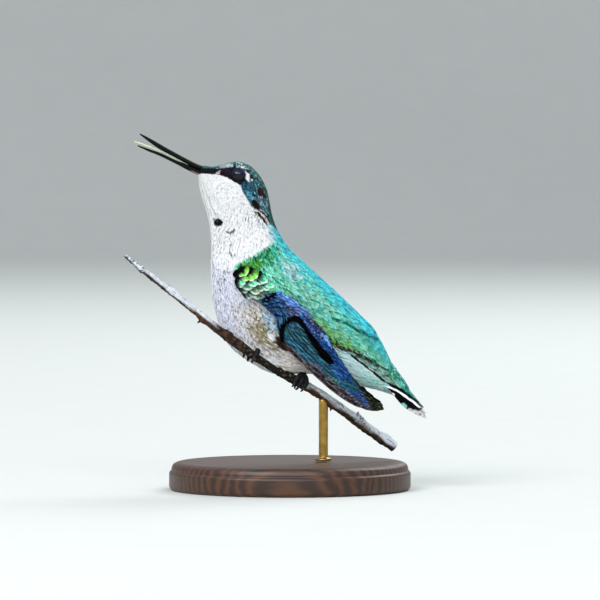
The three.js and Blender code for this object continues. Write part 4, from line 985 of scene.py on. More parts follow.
def bark_material():
    """Weathered bark with long cracks and lichen, over paint that is pale and bluish on top and brown to
    black below as painted light and shade.
    """
    s = Shader("bark_weathered_painted_light", Specular_IOR_Level=0.25)
    place = s.place()
    paint = s.attribute("paint")
    blade = s.attribute("blade", "Vector")
    grain = s.add("Mapping", Vector=blade)
    grain.inputs["Scale"].default_value = (0.5, 3.0, 1.0)
    cracks = s.noise(grain.outputs[0], 1.9, 8.0, 0.72)
    specks = s.noise(place, 2.4, 6.0, 0.7)
    lined = s.mix(s.mask(cracks, 0.36, 0.47), ink("0e0a08"), paint)
    s.colour(s.mix(s.mask(specks, 0.58, 0.70, 0.7), lined, ink("2c201a")))
    s.roughness(specks, 0.7, 0.95)
    s.bump(s.maths("ADD", cracks, s.maths("MULTIPLY", specks, 0.6)), 0.9, 0.22)
    return s.material


def brass_material():
    """Brushed brass, a little tarnished."""
    s = Shader("brass_brushed", Metallic=1.0, Specular_IOR_Level=0.5)
    brushed = s.noise(s.place((6, 6, 0.15)), 1.2, 5.0, 0.7)
    tarnish = s.noise(s.place(), 0.35, 3.0)
    s.colour(s.ramp(tarnish, (0.3, ink("8f7136")), (0.7, ink("c4a055"))))
    s.roughness(brushed, 0.26, 0.5)
    s.bump(brushed, 0.25, 0.02)
    return s.material


def wood_material():
    """Dark satin wood, with rings that run along X and fine open pores."""
    s = Shader("wood_walnut", Specular_IOR_Level=0.45, Coat_Weight=0.12, Coat_Roughness=0.35)
    place = s.place((0.05, 0.42, 0.42))
    bent = s.add("VectorMath", {"operation": "ADD"})
    s.feed(bent.inputs[0], place)
    s.feed(bent.inputs[1], s.add("TexNoise", Vector=place, Scale=0.5, Detail=3.0).outputs["Color"])
    bands = {"bands_direction": "Y"}
    rings = s.add("TexWave", bands, Vector=bent.outputs[0], Scale=0.55, Distortion=5.0, Detail=4.0)
    pores = s.noise(s.place((0.12, 3.2, 3.2)), 1.1, 5.0, 0.75)
    tone = s.ramp(rings.outputs["Fac"], (0.1, ink("2e1a10")), (0.55, ink("3e2415")), (0.95, ink("4e2f1c")))
    s.colour(s.mix(s.mask(pores, 0.56, 0.66, 0.8), tone, ink("190c06")))
    s.roughness(pores, 0.36, 0.55)
    s.bump(pores, 0.3, 0.08)
    return s.material


def stage_material():
    """Plain pale paper."""
    s = Shader("studio_paper", Roughness=0.9, Specular_IOR_Level=0.1)
    s.colour(s.ramp(s.noise(s.place(), 0.05), (0.3, ink("c6c8c5")), (0.7, ink("c8cac7"))))
    return s.material


SOFT = plumage_material("plumage", 0.22, 0.03, 3.5)
FLIGHT = plumage_material("plumage_flight", 0.30, 0.01, 12.0)

# ---------------------------------------------------------------- skin

# The skin takes the coat's colours, darkened a little as painted shade under the feathers.
SKIN_PAINTED_SHADE = 0.95


def skin_piece():
    """One skin in place of the nodes of flesh, below their surface by the coat's depth."""
    rows, sides = 220, 120
    stations, turns = np.linspace(0, 1, rows), np.linspace(0, 2 * math.pi, sides, endpoint=False)
    u, turn = np.meshgrid(stations, turns, indexing="ij")
    p, _, _, normal = body_frame(u, turn)
    points, triangles = loft(p - normal * coat_sizes(u, turn)[2][..., None])
    colour = markings(p)[0]
    paint = np.vstack([colour.reshape(-1, 3), colour[0, 0], colour[-1, 0]]) * SKIN_PAINTED_SHADE
    covered = ("head", "neck", "torso", "rump", "leg_left", "leg_right")
    mesh_piece("skin", points, triangles, skin_material(), "breast", covered, paint=paint)


# ---------------------------------------------------------------- the coat of small feathers

BLADE_ROWS = np.array([0.0, 0.32, 0.58, 0.78, 0.93])


def blade_triangles():
    """Triangles of one blade, whose rows of three points end in a tip, and which of them lie underneath."""
    rows = len(BLADE_ROWS)
    faces, under = [], []
    for i in range(rows - 1):
        l0, m0, r0 = 3 * i, 3 * i + 1, 3 * i + 2
        l1, m1, r1 = l0 + 3, m0 + 3, r0 + 3
        faces += [(l0, l1, m1), (l0, m1, m0), (m0, m1, r1), (m0, r1, r0), (r0, r1, l1), (r0, l1, l0)]
        under += [False, False, False, False, True, True]
    left, ridge, right, tip = 3 * rows - 3, 3 * rows - 2, 3 * rows - 1, 3 * rows
    faces += [(left, tip, ridge), (ridge, tip, right), (right, tip, left), (0, 1, 2)]
    under += [False, False, True, True]
    return np.array(faces), np.array(under)


SCATTER_GRID = (400, 240)
TRIES_PER_FEATHER = 9
SHELF_CELL = 1.0
NEIGHBOURS = [(i, j, k) for i in (-1, 0, 1) for j in (-1, 0, 1) for k in (-1, 0, 1)]


def too_near(place, spacing, cell, shelf):
    """Whether a root lies nearer than the lesser of two spacings to one that is kept around its cell."""
    x, y, z = place
    for step in NEIGHBOURS:
        for x1, y1, z1, spacing1 in shelf.get((cell[0] + step[0], cell[1] + step[1], cell[2] + step[2]), ()):
            if (x1 - x) ** 2 + (y1 - y) ** 2 + (z1 - z) ** 2 < min(spacing1, spacing) ** 2:
                return True
    return False


def scatter():
    """Places of the feathers' roots: station and turn, never nearer than their own spacing."""
    rows, columns = SCATTER_GRID
    stations, turns = (np.arange(rows) + 0.5) / rows, (np.arange(columns) + 0.5) / columns * 2 * math.pi
    u, turn = np.meshgrid(stations, turns, indexing="ij")
    _, lie, across, _ = body_frame(u, turn)
    area = np.linalg.norm(np.cross(lie, across), axis=-1) / (rows * columns) * 2 * math.pi
    weight = (area / coat_sizes(u, turn)[0] ** 2).ravel()
    tries = int(TRIES_PER_FEATHER * weight.sum())
    drawn = rng.choice(len(weight), tries, p=weight / weight.sum())
    u = (drawn // columns + rng.uniform(0, 1, tries)) / rows
    turn = (drawn % columns + rng.uniform(0, 1, tries)) / columns * 2 * math.pi
    places, spacings = body_point(u, turn), coat_sizes(u, turn)[0]
    cells = np.floor(places / SHELF_CELL).astype(int)
    kept, shelf = [], {}
    for k, (place, spacing, cell) in enumerate(zip(places.tolist(), spacings.tolist(), cells.tolist())):
        if not too_near(place, spacing, cell, shelf):
            shelf.setdefault(tuple(cell), []).append((*place, spacing))
            kept.append(k)
    return u[kept], turn[kept]


def fans(length, width, depth, blades):
    """Blades spread over each feather: where across it they are, their x and y, half width and lift."""
    count = len(length)
    f = np.append(BLADE_ROWS, 1.0)[None, None, :]
    where = np.linspace(-1, 1, blades)[None, :] + rng.uniform(-0.10, 0.10, (count, blades))
    reach = (1 - 0.36 * where**2) * rng.uniform(0.88, 1.06, (count, blades))
    y = length[:, None, None] * reach[..., None] * f
    x = width[:, None, None] * where[..., None] * (1 - (1 - f) ** 2.4) * (1 - 0.18 * f**3)
    half = width[:, None, None] / blades * 1.45 * (0.5 + 1.1 * f - 1.15 * f**3) * np.ones_like(y)
    rise = 1 - (1 - f) ** 2.2
    lift = -0.12 + (depth[:, None, None] + 0.12) * rise - 0.10 * depth[:, None, None] * where[..., None] ** 2
    lift = lift + 0.045 * rng.normal(size=(count, blades, 1)) * depth[:, None, None] * f**2
    return where, x, y, half, lift


def tuft_looks(ridge, length, width, where, tone):
    """Paint, blade and map of the tufts' points. Each row is painted by where it lies, a little tipwards."""
    count, blades = where.shape
    rows = len(BLADE_ROWS)
    row_of = np.append(np.repeat(np.arange(rows), 3), rows)
    colour, tip, gloss = (k[:, :, row_of] for k in markings(lerp(ridge, ridge[:, :, rows - 1:rows], 0.2)))
    f = np.append(np.repeat(BLADE_ROWS, 3), 1.0)
    x = np.append(np.tile([-1.0, 0, 1.0], rows), 0.0)
    own = np.exp(rng.normal(0, 1, (count, blades, 1)) * (0.012 + 0.10 * gloss))
    shadow = lerp(lerp(0.98, 0.60, gloss), 1.0, smooth(0.1, 0.7, f))
    dimming = (tone[:, None, None] ** (0.05 + 0.6 * gloss) * own * shadow)[..., None]
    paint = lerp(colour, tip, smooth(0.5, 0.98, f)[:, None]) * dimming
    blade = np.empty((count, blades, len(f), 3))
    blade[..., 0] = f * length[:, None, None]
    blade[..., 1] = where[..., None] * width[:, None, None] + x * 0.05
    blade[..., 2] = gloss
    patch = np.stack([where[..., None] * 0.4 + x * 0.06, np.broadcast_to(f - 0.5, blade.shape[:3])], -1)
    return paint.reshape(-1, 3), blade.reshape(-1, 3), patch


def tufts(u, turn, length, width, depth, heading, blades, over, tone, uv):
    """Feathers lying on the body, each a fan of fine blades: points, triangles and looks."""
    count, rows = len(u), len(BLADE_ROWS)
    _, lie, across, _ = body_frame(u, turn, over)
    speed_u, speed_v = np.linalg.norm(lie, axis=-1), np.maximum(np.linalg.norm(across, axis=-1), 0.3)
    where, x, y, half, lift = fans(length, width, depth, blades)
    # left edge, ridge and right edge of each row, which meet in the last row
    x3 = np.stack([x - half, x, x + half], -1)
    x3[..., -1, :] = x[..., -1, None]
    y3 = y[..., None]
    each = (slice(None), None, None, None)
    cos, sin = np.cos(heading)[each], np.sin(heading)[each]
    pu = u[each] + (y3 * cos - x3 * sin) / speed_u[each]
    pv = turn[each] + (y3 * sin + x3 * cos) / speed_v[each]
    p, _, _, normal = body_frame(pu, pv, np.broadcast_to(over[each], pu.shape))
    thick = half * 0.09 + 0.008
    height = lift[..., None] - coat_sizes(pu, pv)[2] + np.stack([0 * thick, thick, 0 * thick], -1)
    p = p + normal * height[..., None]
    body = p[:, :, :rows].reshape(count, blades, rows * 3, 3)
    points = np.concatenate([body, p[:, :, rows, 1:2]], 2).reshape(-1, 3)
    template, under = blade_triangles()
    first = (rows * 3 + 1) * np.arange(count * blades)[:, None, None]
    paint, blade, patch = tuft_looks(p[:, :, :, 1], length, width, where, tone)
    looks = {"paint": paint, "blade": blade, "flat": np.tile(under, count * blades)}
    looks["uv"] = (uv[:, None, None, :] + 0.003 * patch).reshape(-1, 2)
    return points, (template[None] + first).reshape(-1, 3), looks


# Each zone is a piece of the coat: name, material slot, stations, turns from the back, blades in a feather.
ZONES = [
    ("coat_crown", "crown", (0.0, 0.24), (0.0, 1.35), 6),
    ("coat_throat", "breast", (0.0, 0.24), (1.35, 3.15), 6),
    ("coat_nape", "crown", (0.24, 0.46), (0.0, 1.35), 7),
    ("coat_neck", "breast", (0.24, 0.46), (1.35, 3.15), 8),
    ("coat_back", "back", (0.46, 0.66), (0.0, 1.5), 8),
    ("coat_saddle", "back", (0.66, 0.80), (0.0, 1.5), 8),
    ("coat_breast", "breast", (0.46, 0.62), (1.5, 3.15), 9),
    ("coat_belly", "breast", (0.62, 0.80), (1.5, 3.15), 9),
    ("coat_rump", "back", (0.80, 1.001), (0.0, 1.5), 8),
    ("coat_vent", "breast", (0.80, 1.001), (1.5, 3.15), 9),
]
# A place is beside the wing beyond this far from the middle plane, and bare this deep inside its outline.
WING_ROOT_Y, BARE_UNDER_WING = 3.5, 2.0
LID_START, LID_DEPTH = 2, 0.4
EYE_MARGIN = 0.12
# How the small feathers vary: their half width as a share of their spacing, how far they turn off the body's
# lie, their shade, and the share of them that stand a little proud of the rest.
TUFT_WIDTH, HEADING_SPREAD, TONE_SPREAD, PROUD_SHARE = 0.86, 0.11, 0.2, 0.05


def coat():
    """The small feathers of the whole body, zone by zone, but for the eye's opening and the wing's bed."""
    u, turn = scatter()
    p = body_point(u, turn)
    spacing, length, depth = coat_sizes(u, turn)
    length = length * rng.uniform(0.88, 1.15, len(u))
    heading = rng.normal(0, HEADING_SPREAD, len(u))
    side = np.minimum(turn, 2 * math.pi - turn)
    s, t = wing_coordinates(p)
    outer = np.abs(p[:, 1]) > WING_ROOT_Y
    over = (t > along(WING_EDGES, s, 2) - LID_DEPTH) & (s > LID_START) & (s < LID_END[1]) & outer
    hidden = (within_wing(s, t) > BARE_UNDER_WING) & outer & (u > 0.4)
    end = body_point(u + length / np.linalg.norm(body_frame(u, turn)[1], axis=-1), turn)
    spots = (p, (p + end) / 2, end)
    eye_gap = np.minimum.reduce([np.hypot(q[:, 0] - EYE[0], q[:, 2] - EYE[2]) for q in spots])
    off_eye = (eye_gap > EYE_OPENING + EYE_MARGIN) | (side < 0.45) | (u > 0.3)
    tone = np.exp(rng.normal(0, TONE_SPREAD, len(u)))
    depth = depth * np.where(rng.uniform(0, 1, len(u)) < PROUD_SHARE, rng.uniform(1.05, 1.2, len(u)), 1.0)
    for name, slot, (u0, u1), (v0, v1), blades in ZONES:
        mine = ~hidden & off_eye & (u >= u0) & (u < u1) & (side >= v0) & (side < v1)
        uv = lerp(0.03, 0.97, np.stack([turn / (2 * math.pi), (u - u0) / (u1 - u0)], -1))
        points, triangles, looks = tufts(
            u[mine], turn[mine], length[mine], spacing[mine] * TUFT_WIDTH, depth[mine], heading[mine],
            blades, over[mine], tone[mine], uv[mine])
        mesh_piece(name, points, triangles, SOFT, slot, **looks)


# ---------------------------------------------------------------- long feathers


def tapered(root, widest, rounding, power):
    """A feather's outline: its half width's share along it, from root to widest, and its rounded tip."""
    def outline(f):
        end = np.clip((f - rounding) / (1 - rounding), 0, 1)
        return lerp(root, 1, smooth(0.0, widest, f)) * np.sqrt(np.maximum(1 - end**power, 0.0004))
    return outline


FLIGHT_OUTLINE = tapered(0.18, 0.22, 0.80, 2.2)
COVERT_OUTLINE = tapered(0.25, 0.35, 0.58, 2.4)
TAIL_OUTLINE = tapered(0.18, 0.22, 0.70, 1.9)
EDGE_THICKNESS, SHAFT_THICKNESS = 0.05, 0.14


def straight(root, tip):
    """A feather's middle line from its root to its tip, both as (s, t)."""
    return lambda f: (lerp(root[0], tip[0], f), lerp(root[1], tip[1], f))


def fibres(s, t, stretch, number, seed):
    """Noise from -1 to 1 drawn out along a long feather, and different on each."""
    own = np.full_like(s, stretch[2] * number)
    return patches(np.stack([s * stretch[0], t * stretch[1], own], -1), 1.0, seed)


def add_vane(heap, cells, place, centre, half_width, lifts, paint_of, rows, columns,
             slope=0.0, outline=FLIGHT_OUTLINE, camber=0.12):
    """Adds one long feather: a closed, thin blade along centre(f), painted by paint_of(f, x, s, t).

    place(s, t, n) maps the wing's or tail's own frame to the bird's. lifts are its heights at root and tip,
    and cells is the number of strips in the map of the piece, of which the feather takes the next.
    """
    number = len(heap.points)
    f = (1 - (1 - np.linspace(0, 1, rows + 1)) ** 1.35)[:, None]
    x = np.linspace(-1, 1, columns + 1)[None, :]
    s, t = centre(f)
    s0, t0 = centre(f - 0.01)
    step = np.hypot(s - s0, t - t0)
    nicks = np.sin(f * 37 + number * 2.1) * np.sin(f * 23 + number)
    notch = 1 - 0.10 * np.clip(nicks - 0.72, 0, 1) / 0.28
    reach = x * half_width * outline(f) * np.where(np.abs(x) > 0.9, notch, 1)
    height = lerp(*lifts, f) + slope * reach + camber * (1 - np.abs(x)) ** 1.2
    thickness = lerp(EDGE_THICKNESS, SHAFT_THICKNESS, 1 - np.abs(x)) * (1 - 0.55 * f)
    shaft = 0.05 * np.exp(-(x / 0.12) ** 2) * (1 - f)
    s, t = s - reach * (t - t0) / step, t + reach * (s - s0) / step
    top, bottom = place(s, t, height + thickness / 2 + shaft), place(s, t, height - thickness / 2)
    points = np.vstack([top.reshape(-1, 3), bottom.reshape(-1, 3)])
    face = grid_triangles(rows + 1, columns + 1)
    below = (rows + 1) * (columns + 1)
    i, j = np.arange(rows) * (columns + 1), np.arange(columns)
    left, root, tip = (i, i + columns + 1), (j + 1, j), (i[-1] + columns + 1 + j, i[-1] + columns + 2 + j)
    right = (left[1] + columns, left[0] + columns)
    walls = []
    for a, b in (left, right, root, tip):
        walls += [np.stack([b + below, b, a], -1), np.stack([a + below, b + below, a], -1)]
    triangles = outward(points, np.vstack([face, face[:, ::-1] + below, *walls]))
    every = np.ones_like(s)
    colour, gloss = paint_of(f * every, x * every, s, t)
    length = np.hypot(*(b - a for a, b in zip(centre(0.0), centre(1.0))))
    blade = np.stack([f * length * every, reach * every, gloss * every], -1)
    u = (number + 0.06 + 0.88 * (x * every + 1) / 2) / cells
    uv = np.stack([np.stack([u, v + 0.46 * f * every], -1) for v in (0.02, 0.52)])
    heap.add(points, triangles, paint=np.vstack([colour.reshape(-1, 3)] * 2),
             blade=np.vstack([blade.reshape(-1, 3)] * 2), uv=uv.reshape(-1, 2))


def wing_place(side):
    return lambda s, t, n: placed(WING_FRAME, s, t, side * (wing_out(s, t) + n))


# Where the long feathers' roots lie, s and t, and how far each lies beyond the one before it.
PRIMARY_ROOT, SECONDARY_ROOT = (4.5, 0.2, 0.3), (4.0, 1.2, 0.15)
# How high across the wing the first secondary's tip lies, and how much higher each next one.
SECONDARY_TIP = (2.1, 0.29)
FLIGHT_HALF_WIDTH, SECONDARY_HALF_WIDTH = 1.25, 1.15
SECONDARY_LIFTS = (0.3, 0.55)
# Feathers lie aslant, like shingles: how much they rise over their own width.
SHINGLE, COVERT_SHINGLE = -0.37, -0.2
COVERT_DEPTH = 0.5


def wing_colours(s, t):
    """Colour, tip colour and gloss of the folded wing by where a place lies on it."""
    points = placed(WING_FRAME, s, t, 0).reshape(-1, 3)
    looks = ground(points, DEEP_TEAL, NAVY, (2.0, 41, 0.45, 0.5), STREAK, 0.6)
    paint_marks(WING_MARKS, points, looks, 0.2)
    paint_flecks(WING_FLECKS, points, looks)
    paint_marks(WING_LINES, points, looks, 0.1)
    return shaped(looks, s.shape)


def wing_line(s, t):
    """How far the wing's black lines, among them the arch's painted shadow, cover a place on it."""
    points = placed(WING_FRAME, s, t, 0).reshape(-1, 3)
    black, no_edge = np.zeros(len(points)), np.zeros(len(points))
    for outline, softness, *_ in WING_LINES:
        near, weight = cover(points, no_edge, outline, softness)
        black[near] = np.maximum(black[near], weight)
    return black.reshape(s.shape)


def flight_paint(order):
    """Long feathers with a dark shaft, fine pale lines along them, and a paler leading edge."""
    def paint(f, x, s, t):
        colour, tip, gloss = wing_colours(s, t)
        fleck = fibres(s, t, (0.9, 6.0, 3.0), order, 61)
        fine = fibres(s, t, (2.2, 9.0, 5.0), order, 65)
        lines = 0.5 * np.sin(x * 13 + order * 2.3) + 0.8 * fleck + 0.7 * fine
        body = lerp(colour, tip, (smooth(0.35, 1.5, lines) * 0.85)[..., None])
        edge = smooth(0.74, 0.95, -x) * smooth(0.15, 0.3, f) * smooth(-0.6, 0.4, fleck)
        body = lerp(body, lerp(tip, WHITE, 0.10), (0.45 * edge)[..., None])
        dark = 0.8 * np.exp(-((x + 0.1) / 0.10) ** 2) + 0.75 * smooth(0.80, 0.98, x)
        body = lerp(body, ARCH, np.clip(dark, 0, 1)[..., None])
        # the feathers are darkened under the wing's black lines, where the arch is painted shadow
        return body * (np.exp(0.22 * fine) * (1 - 0.9 * wing_line(s, t)))[..., None], gloss
    return paint


# Rows of coverts: how far along the tips are at the row's lower and upper ends, where those ends lie across
# the wing, how many feathers, their length and half width, and how high their tips stand.
COVERT_ROWS = [
    ((10.8, 17.2), (-0.4, 4.0), 12, 6.4, 0.72, 0.80),
    ((9.4, 13.2), (-0.3, 4.0), 11, 5.2, 0.72, 0.95),
    ((7.9, 10.8), (-0.3, 4.0), 10, 4.2, 0.78, 1.08),
    ((6.3, 8.4), (-0.6, 4.0), 8, 3.7, 0.95, 1.2),
    ((4.6, 6.4), (-1.5, 3.9), 6, 3.6, 1.15, 1.28),
    ((2.9, 4.4), (-1.3, 3.7), 5, 3.3, 1.25, 1.3),
    ((1.4, 2.5), (-0.9, 3.1), 5, 2.5, 1.05, 1.2),
    ((-0.2, 0.6), (-0.1, 2.4), 4, 1.6, 0.9, 1.0),
]


def covert_paint(tip_place, tone, scalloped):
    """Coverts take the wing's colours. Scalloped ones are of one colour with a pale rim on one side."""
    at_tip = wing_colours(*(np.array([k]) for k in tip_place))

    def paint(f, x, s, t):
        base, end, shine = (lerp(here, own[0], scalloped) for here, own in zip(wing_colours(s, t), at_tip))
        fleck = fibres(s, t, (2.5, 2.5, 7.0), tip_place[0], 62)
        radius = np.hypot(np.maximum(f - 0.58, 0) / 0.42, x)
        rim = smooth(0.62, 0.86, radius) * smooth(0.3, 0.6, f) * smooth(0.6, -0.5, x)
        fine = smooth(0.3, 0.9, np.sin(x * 9 + tip_place[1] * 5) + 0.8 * fleck)
        colour = lerp(base, end, (fine * lerp(0.8, 0.55, scalloped))[..., None]) * tone
        rim = rim * scalloped * smooth(0.35, 0.65, shine)
        colour = lerp(colour, lerp(end, CREAM, 0.6), (0.8 * rim)[..., None])
        # painted shadow: each covert darkens to black towards its root, where the feather above lies over it
        dark = smooth(lerp(0.45, 0.80, scalloped), lerp(0.1, 0.35, scalloped), f)[..., None]
        body = lerp(colour * np.exp(0.3 * fleck)[..., None], ARCH, dark)
        # darkened under the wing's black lines, where the arch is painted shadow
        return body * (1 - 0.95 * wing_line(s, t)[..., None]), shine
    return paint


def primary_line(order, tip):
    """A primary's middle line, which keeps its feather within the wing's outline."""
    root_s, root_t, shift = PRIMARY_ROOT
    pitch = 0.75 - 0.01 * order

    def centre(f):
        s = lerp(root_s + shift * order, tip, f)
        lowest = along(WING_EDGES, s, 1) + FLIGHT_HALF_WIDTH
        highest = along(WING_EDGES, s, 2) - FLIGHT_HALF_WIDTH * FLIGHT_OUTLINE(f)
        spread = np.minimum(lowest + order * pitch, highest)
        return s, lerp(root_t + shift * order, spread, smooth(-0.1, 0.27, f))
    return centre


def wing_piece(side):
    """A folded wing: primaries, secondaries over them and rows of coverts over their roots."""
    place = wing_place(side)
    heap = Heap()
    cells = len(PRIMARIES) + len(SECONDARIES) + sum(row[2] for row in COVERT_ROWS)
    for order, tip in enumerate(PRIMARIES):
        add_vane(heap, cells, place, primary_line(order, tip), FLIGHT_HALF_WIDTH, (0, 0),
                 flight_paint(order), rows=84, columns=18, slope=SHINGLE)
    for order, tip in enumerate(SECONDARIES):
        root_s, root_t, shift = SECONDARY_ROOT
        line = straight((root_s, root_t + shift * order), (tip, SECONDARY_TIP[0] + SECONDARY_TIP[1] * order))
        add_vane(heap, cells, place, line, SECONDARY_HALF_WIDTH, SECONDARY_LIFTS, flight_paint(order + 12),
                 rows=56, columns=16, slope=SHINGLE)
    for row, (tips, across, count, length, half_width, rise) in enumerate(COVERT_ROWS):
        for k in range(count):
            share = (k + 0.25 * (row % 2)) / (count - 1)
            tip = lerp(*tips, share) + rng.uniform(-0.35, 0.35)
            height = lerp(*across, min(share, 1)) + rng.uniform(-0.15, 0.15)
            root = lerp(height, 1.3, 0.35) + rng.uniform(-0.3, 0.3)
            line = straight((tip - length * rng.uniform(0.9, 1.1), root), (tip, height))
            lift = rise + rng.uniform(-0.08, 0.08)
            paint = covert_paint((tip, height), rng.uniform(0.75, 1.2), smooth(8.5, 6.0, tip))
            add_vane(heap, cells, place, line, half_width * rng.uniform(0.9, 1.12),
                     (lift - COVERT_DEPTH, lift), paint, rows=14, columns=10, slope=COVERT_SHINGLE,
                     outline=COVERT_OUTLINE, camber=0.16)
    name = SIDE_NAMES[side]
    heap.piece("feathers_wing_" + name, FLIGHT, "flight", ("wing_" + name,))


# ---------------------------------------------------------------- tail


def tail_place(s, a, n):
    """Places on the tail's arc: s along it, a round it and n above it."""
    arc = lerp(TAIL_ARC[0], TAIL_ARC[1], np.minimum(s / TAIL_ARC[2], 1.1))
    turn = a / TAIL_ARC[1]
    top = lerp(TAIL_RISE[0], TAIL_RISE[1], np.minimum(s / TAIL_RISE[2], 1))
    return placed(TAIL_FRAME, s, top + (arc + n) * np.cos(turn) - arc, (arc + n) * np.sin(turn))


def under_tail_place(s, a, n):
    """Places under the tail: s along it, a across it and n below it."""
    return placed(TAIL_FRAME, s, along(UNDER_TAIL, s) + 0.1 * a * a - n + 0.25, a)


TAIL_MARKS = [
    # a band of fine grey and green under the upper black line
    ([(16.6, 3.9), (20.9, 1.3), (24.7, -0.9), (26.7, -3), (27.3, -4.5), (24.9, -3.4), (20.2, 0.2)], 0.2,
     ink("4f9484"), ink("b4d9cf"), 0.5),
    ([(20.6, 1.7), (22.6, 0.75), (24.4, -0.2), (24.4, -0.65), (22.4, 0.25), (20.6, 1.25)], 0.08, BLACK,
     DEEP_GREEN, 0.3),
    ([(24.3, -0.4), (25.6, -1.2), (26.8, -2.6), (25.6, -2.3), (24.5, -1.5)], 0.2, ink("0a6a34"),
     ink("2fae6a"), 0.7),
    # the pale green and white below the long black line
    ([(16.6, 2.8), (20.1, -0.3), (23.1, -2.8), (25.2, -4.1), (24.4, -5.6), (15, -4)], 0.2, PALE_CYAN, WHITE,
     0.1),
    # whitish tips
    ([(27.8, -8.4), (28.8, -8.1), (30.1, -8.8), (31.2, -8.6), (32, -8.9), (33.6, -11.6), (31.4, -11.6),
     (28.2, -9.9)], 0.2, ink("bfbcba"), ink("f0ecec"), 0.1),
    # the black band, the white streak through it and the long black line above them
    ([(22.8, -4.6), (24.9, -4), (26.4, -5), (28.6, -6.6), (31.6, -8.6), (31.2, -9.1), (29.4, -8.7),
     (28.6, -8.5), (28.2, -9.4), (26.6, -8.6), (23.6, -6.6)], 0.1, BLACK, BLACK, 0.2),
    ([(27, -7.5), (27.7, -7.4), (28.3, -8), (28.2, -8.4), (27.7, -8.2)], 0.1, ink("6fb4ae"), PALE_TEAL, 0.2),
    ([(24, -4.5), (24.7, -4.9), (25.7, -5.5), (25.5, -5.7), (24.5, -5.3), (23.9, -4.8)], 0.05, WHITE, WHITE,
     0.1),
    ([(24.4, -3.8), (25.5, -3.9), (26.9, -5), (29.7, -7), (31.5, -8.55), (31, -8.5), (29.4, -7.35),
     (28.1, -6.35), (26.8, -5.4), (25.8, -4.75), (24.5, -4.2)], 0.06, WHITE, WHITE, 0.1),
    ([(16.6, 3.3), (20.2, 0.2), (23.2, -2.2), (24.9, -3.2), (27.1, -4.4), (30, -6.5), (32.1, -8.5),
     (31.5, -8.8), (29.8, -7), (27, -5), (24.8, -3.9), (23.1, -2.8), (20.1, -0.3), (16.6, 2.8)], 0.08, BLACK,
     BLACK, 0.2),
]
TAIL_FLECKS = [
    ([(28.6, -8.4), (32, -9.2), (33, -11), (29, -10)], 0.34, 0.45, ink("2a2c2c"), 0.2),
    (TAIL_SIDE, 0.45, 0.42, ink("0a5a50"), 0.6),
    (TAIL_SIDE, 0.38, 0.55, ink("9fe6da"), 0.5),
]


def tail_colours(s, a, lift):
    """Colour, tip colour and gloss of the tail by where a place lies in the side view."""
    points = tail_place(s, a, lift + np.zeros(s.shape)).reshape(-1, 3)
    looks = ground(points, ink("23a394"), ink("0a6a5c"), (1.2, 43, 0.35, 0.6), ink("7fdcd0"), 0.7)
    paint_marks(TAIL_MARKS, points, looks, 0.05)
    paint_flecks(TAIL_FLECKS, points, looks)
    return shaped(looks, s.shape)


def rectrix_paint(order, lift):
    """Long tail feathers, marked by where they lie, with fine lines and a dark shaft."""
    def paint(_, x, s, t):
        colour, tip, gloss = tail_colours(s, t, lift)
        fleck = fibres(s, t, (0.9, 6.0, 3.0), order, 63)
        fine = fibres(s, t, (2.2, 9.0, 5.0), order, 66)
        lines = 0.5 * np.sin(x * 11 + order) + 0.7 * fleck + 0.7 * fine
        body = lerp(colour, tip, (smooth(0.2, 1.4, lines) * 0.8)[..., None])
        pale = smooth(0.35, 0.15, gloss)[..., None]
        dark = 0.7 * np.exp(-(x / 0.10) ** 2) * smooth(17, 12, s) + 0.6 * smooth(0.82, 0.98, np.abs(x))
        body = lerp(body, ARCH, np.clip(dark, 0, 1)[..., None] * (1 - 0.85 * pale))
        return body * np.exp(0.15 * fine * (1 - pale[..., 0]))[..., None], gloss
    return paint


def upper_covert_paint(tone, number, lifts):
    """Coverts over the tail, marked by where they lie, with a dark root."""
    def paint(f, x, s, t):
        fleck = fibres(s, t, (1.5, 5.0, 7.0), number, 64)
        colour, tip, gloss = tail_colours(s, t, lerp(*lifts, f))
        edge = smooth(0.45, 0.95, np.abs(x)) * smooth(0.2, 0.6, f)
        fine = smooth(0.2, 1.1, 0.6 * np.sin(x * 9 + number) + fleck)
        body = lerp(colour, tip, np.clip(0.6 * fine + 0.25 * edge, 0, 1)[..., None]) * tone
        root = smooth(0.5, 0.1, f) * smooth(0.2, 0.5, gloss)
        return lerp(body, DEEP_GREEN * 0.4, root[..., None]), gloss
    return paint


def under_covert_paint(number):
    """Pale coverts under the tail."""
    def paint(f, _, s, t):
        fleck = fibres(s, t, (1.5, 5.0, 7.0), number, 64)
        pale = lerp(ink("8fdcd0"), PALE_CYAN, np.clip(0.4 + 0.6 * fleck, 0, 1)[..., None])
        return lerp(pale, ink("e2fbfb"), smooth(0.3, 1.1, f)[..., None]), np.full_like(f, 0.05)
    return paint


# Rows of the tail's coverts: how many, root, tip, spread, lifts at root and tip, half width and whether they
# are under the tail.
TAIL_COVERTS = [
    (9, 2.8, 11.2, 3.5, (1.3, 0.16), 0.85, False),
    (9, 1.8, 9.4, 3.4, (1.5, 0.36), 0.85, False),
    (8, 0.9, 7.6, 3.0, (1.7, 0.70), 0.85, False),
    (7, 0.2, 6.0, 2.7, (1.9, 1.05), 0.85, False),
    (7, 3.0, 8.0, 2.3, (-0.2, 0.25), 0.8, True),
    (6, 2.4, 6.9, 1.9, (-0.15, 0.35), 0.8, True),
    (5, 2.0, 5.8, 1.6, (-0.1, 0.42), 0.8, True),
]


TAIL_HALF_WIDTH = 1.15


def rectrix_line(tip, across):
    """A tail feather's middle line, bowed outwards a little before its tip."""
    return lambda f: (lerp(1, tip, f), across * (1.12 - 0.42 * (f - 0.45) ** 2 - 0.16 * f))


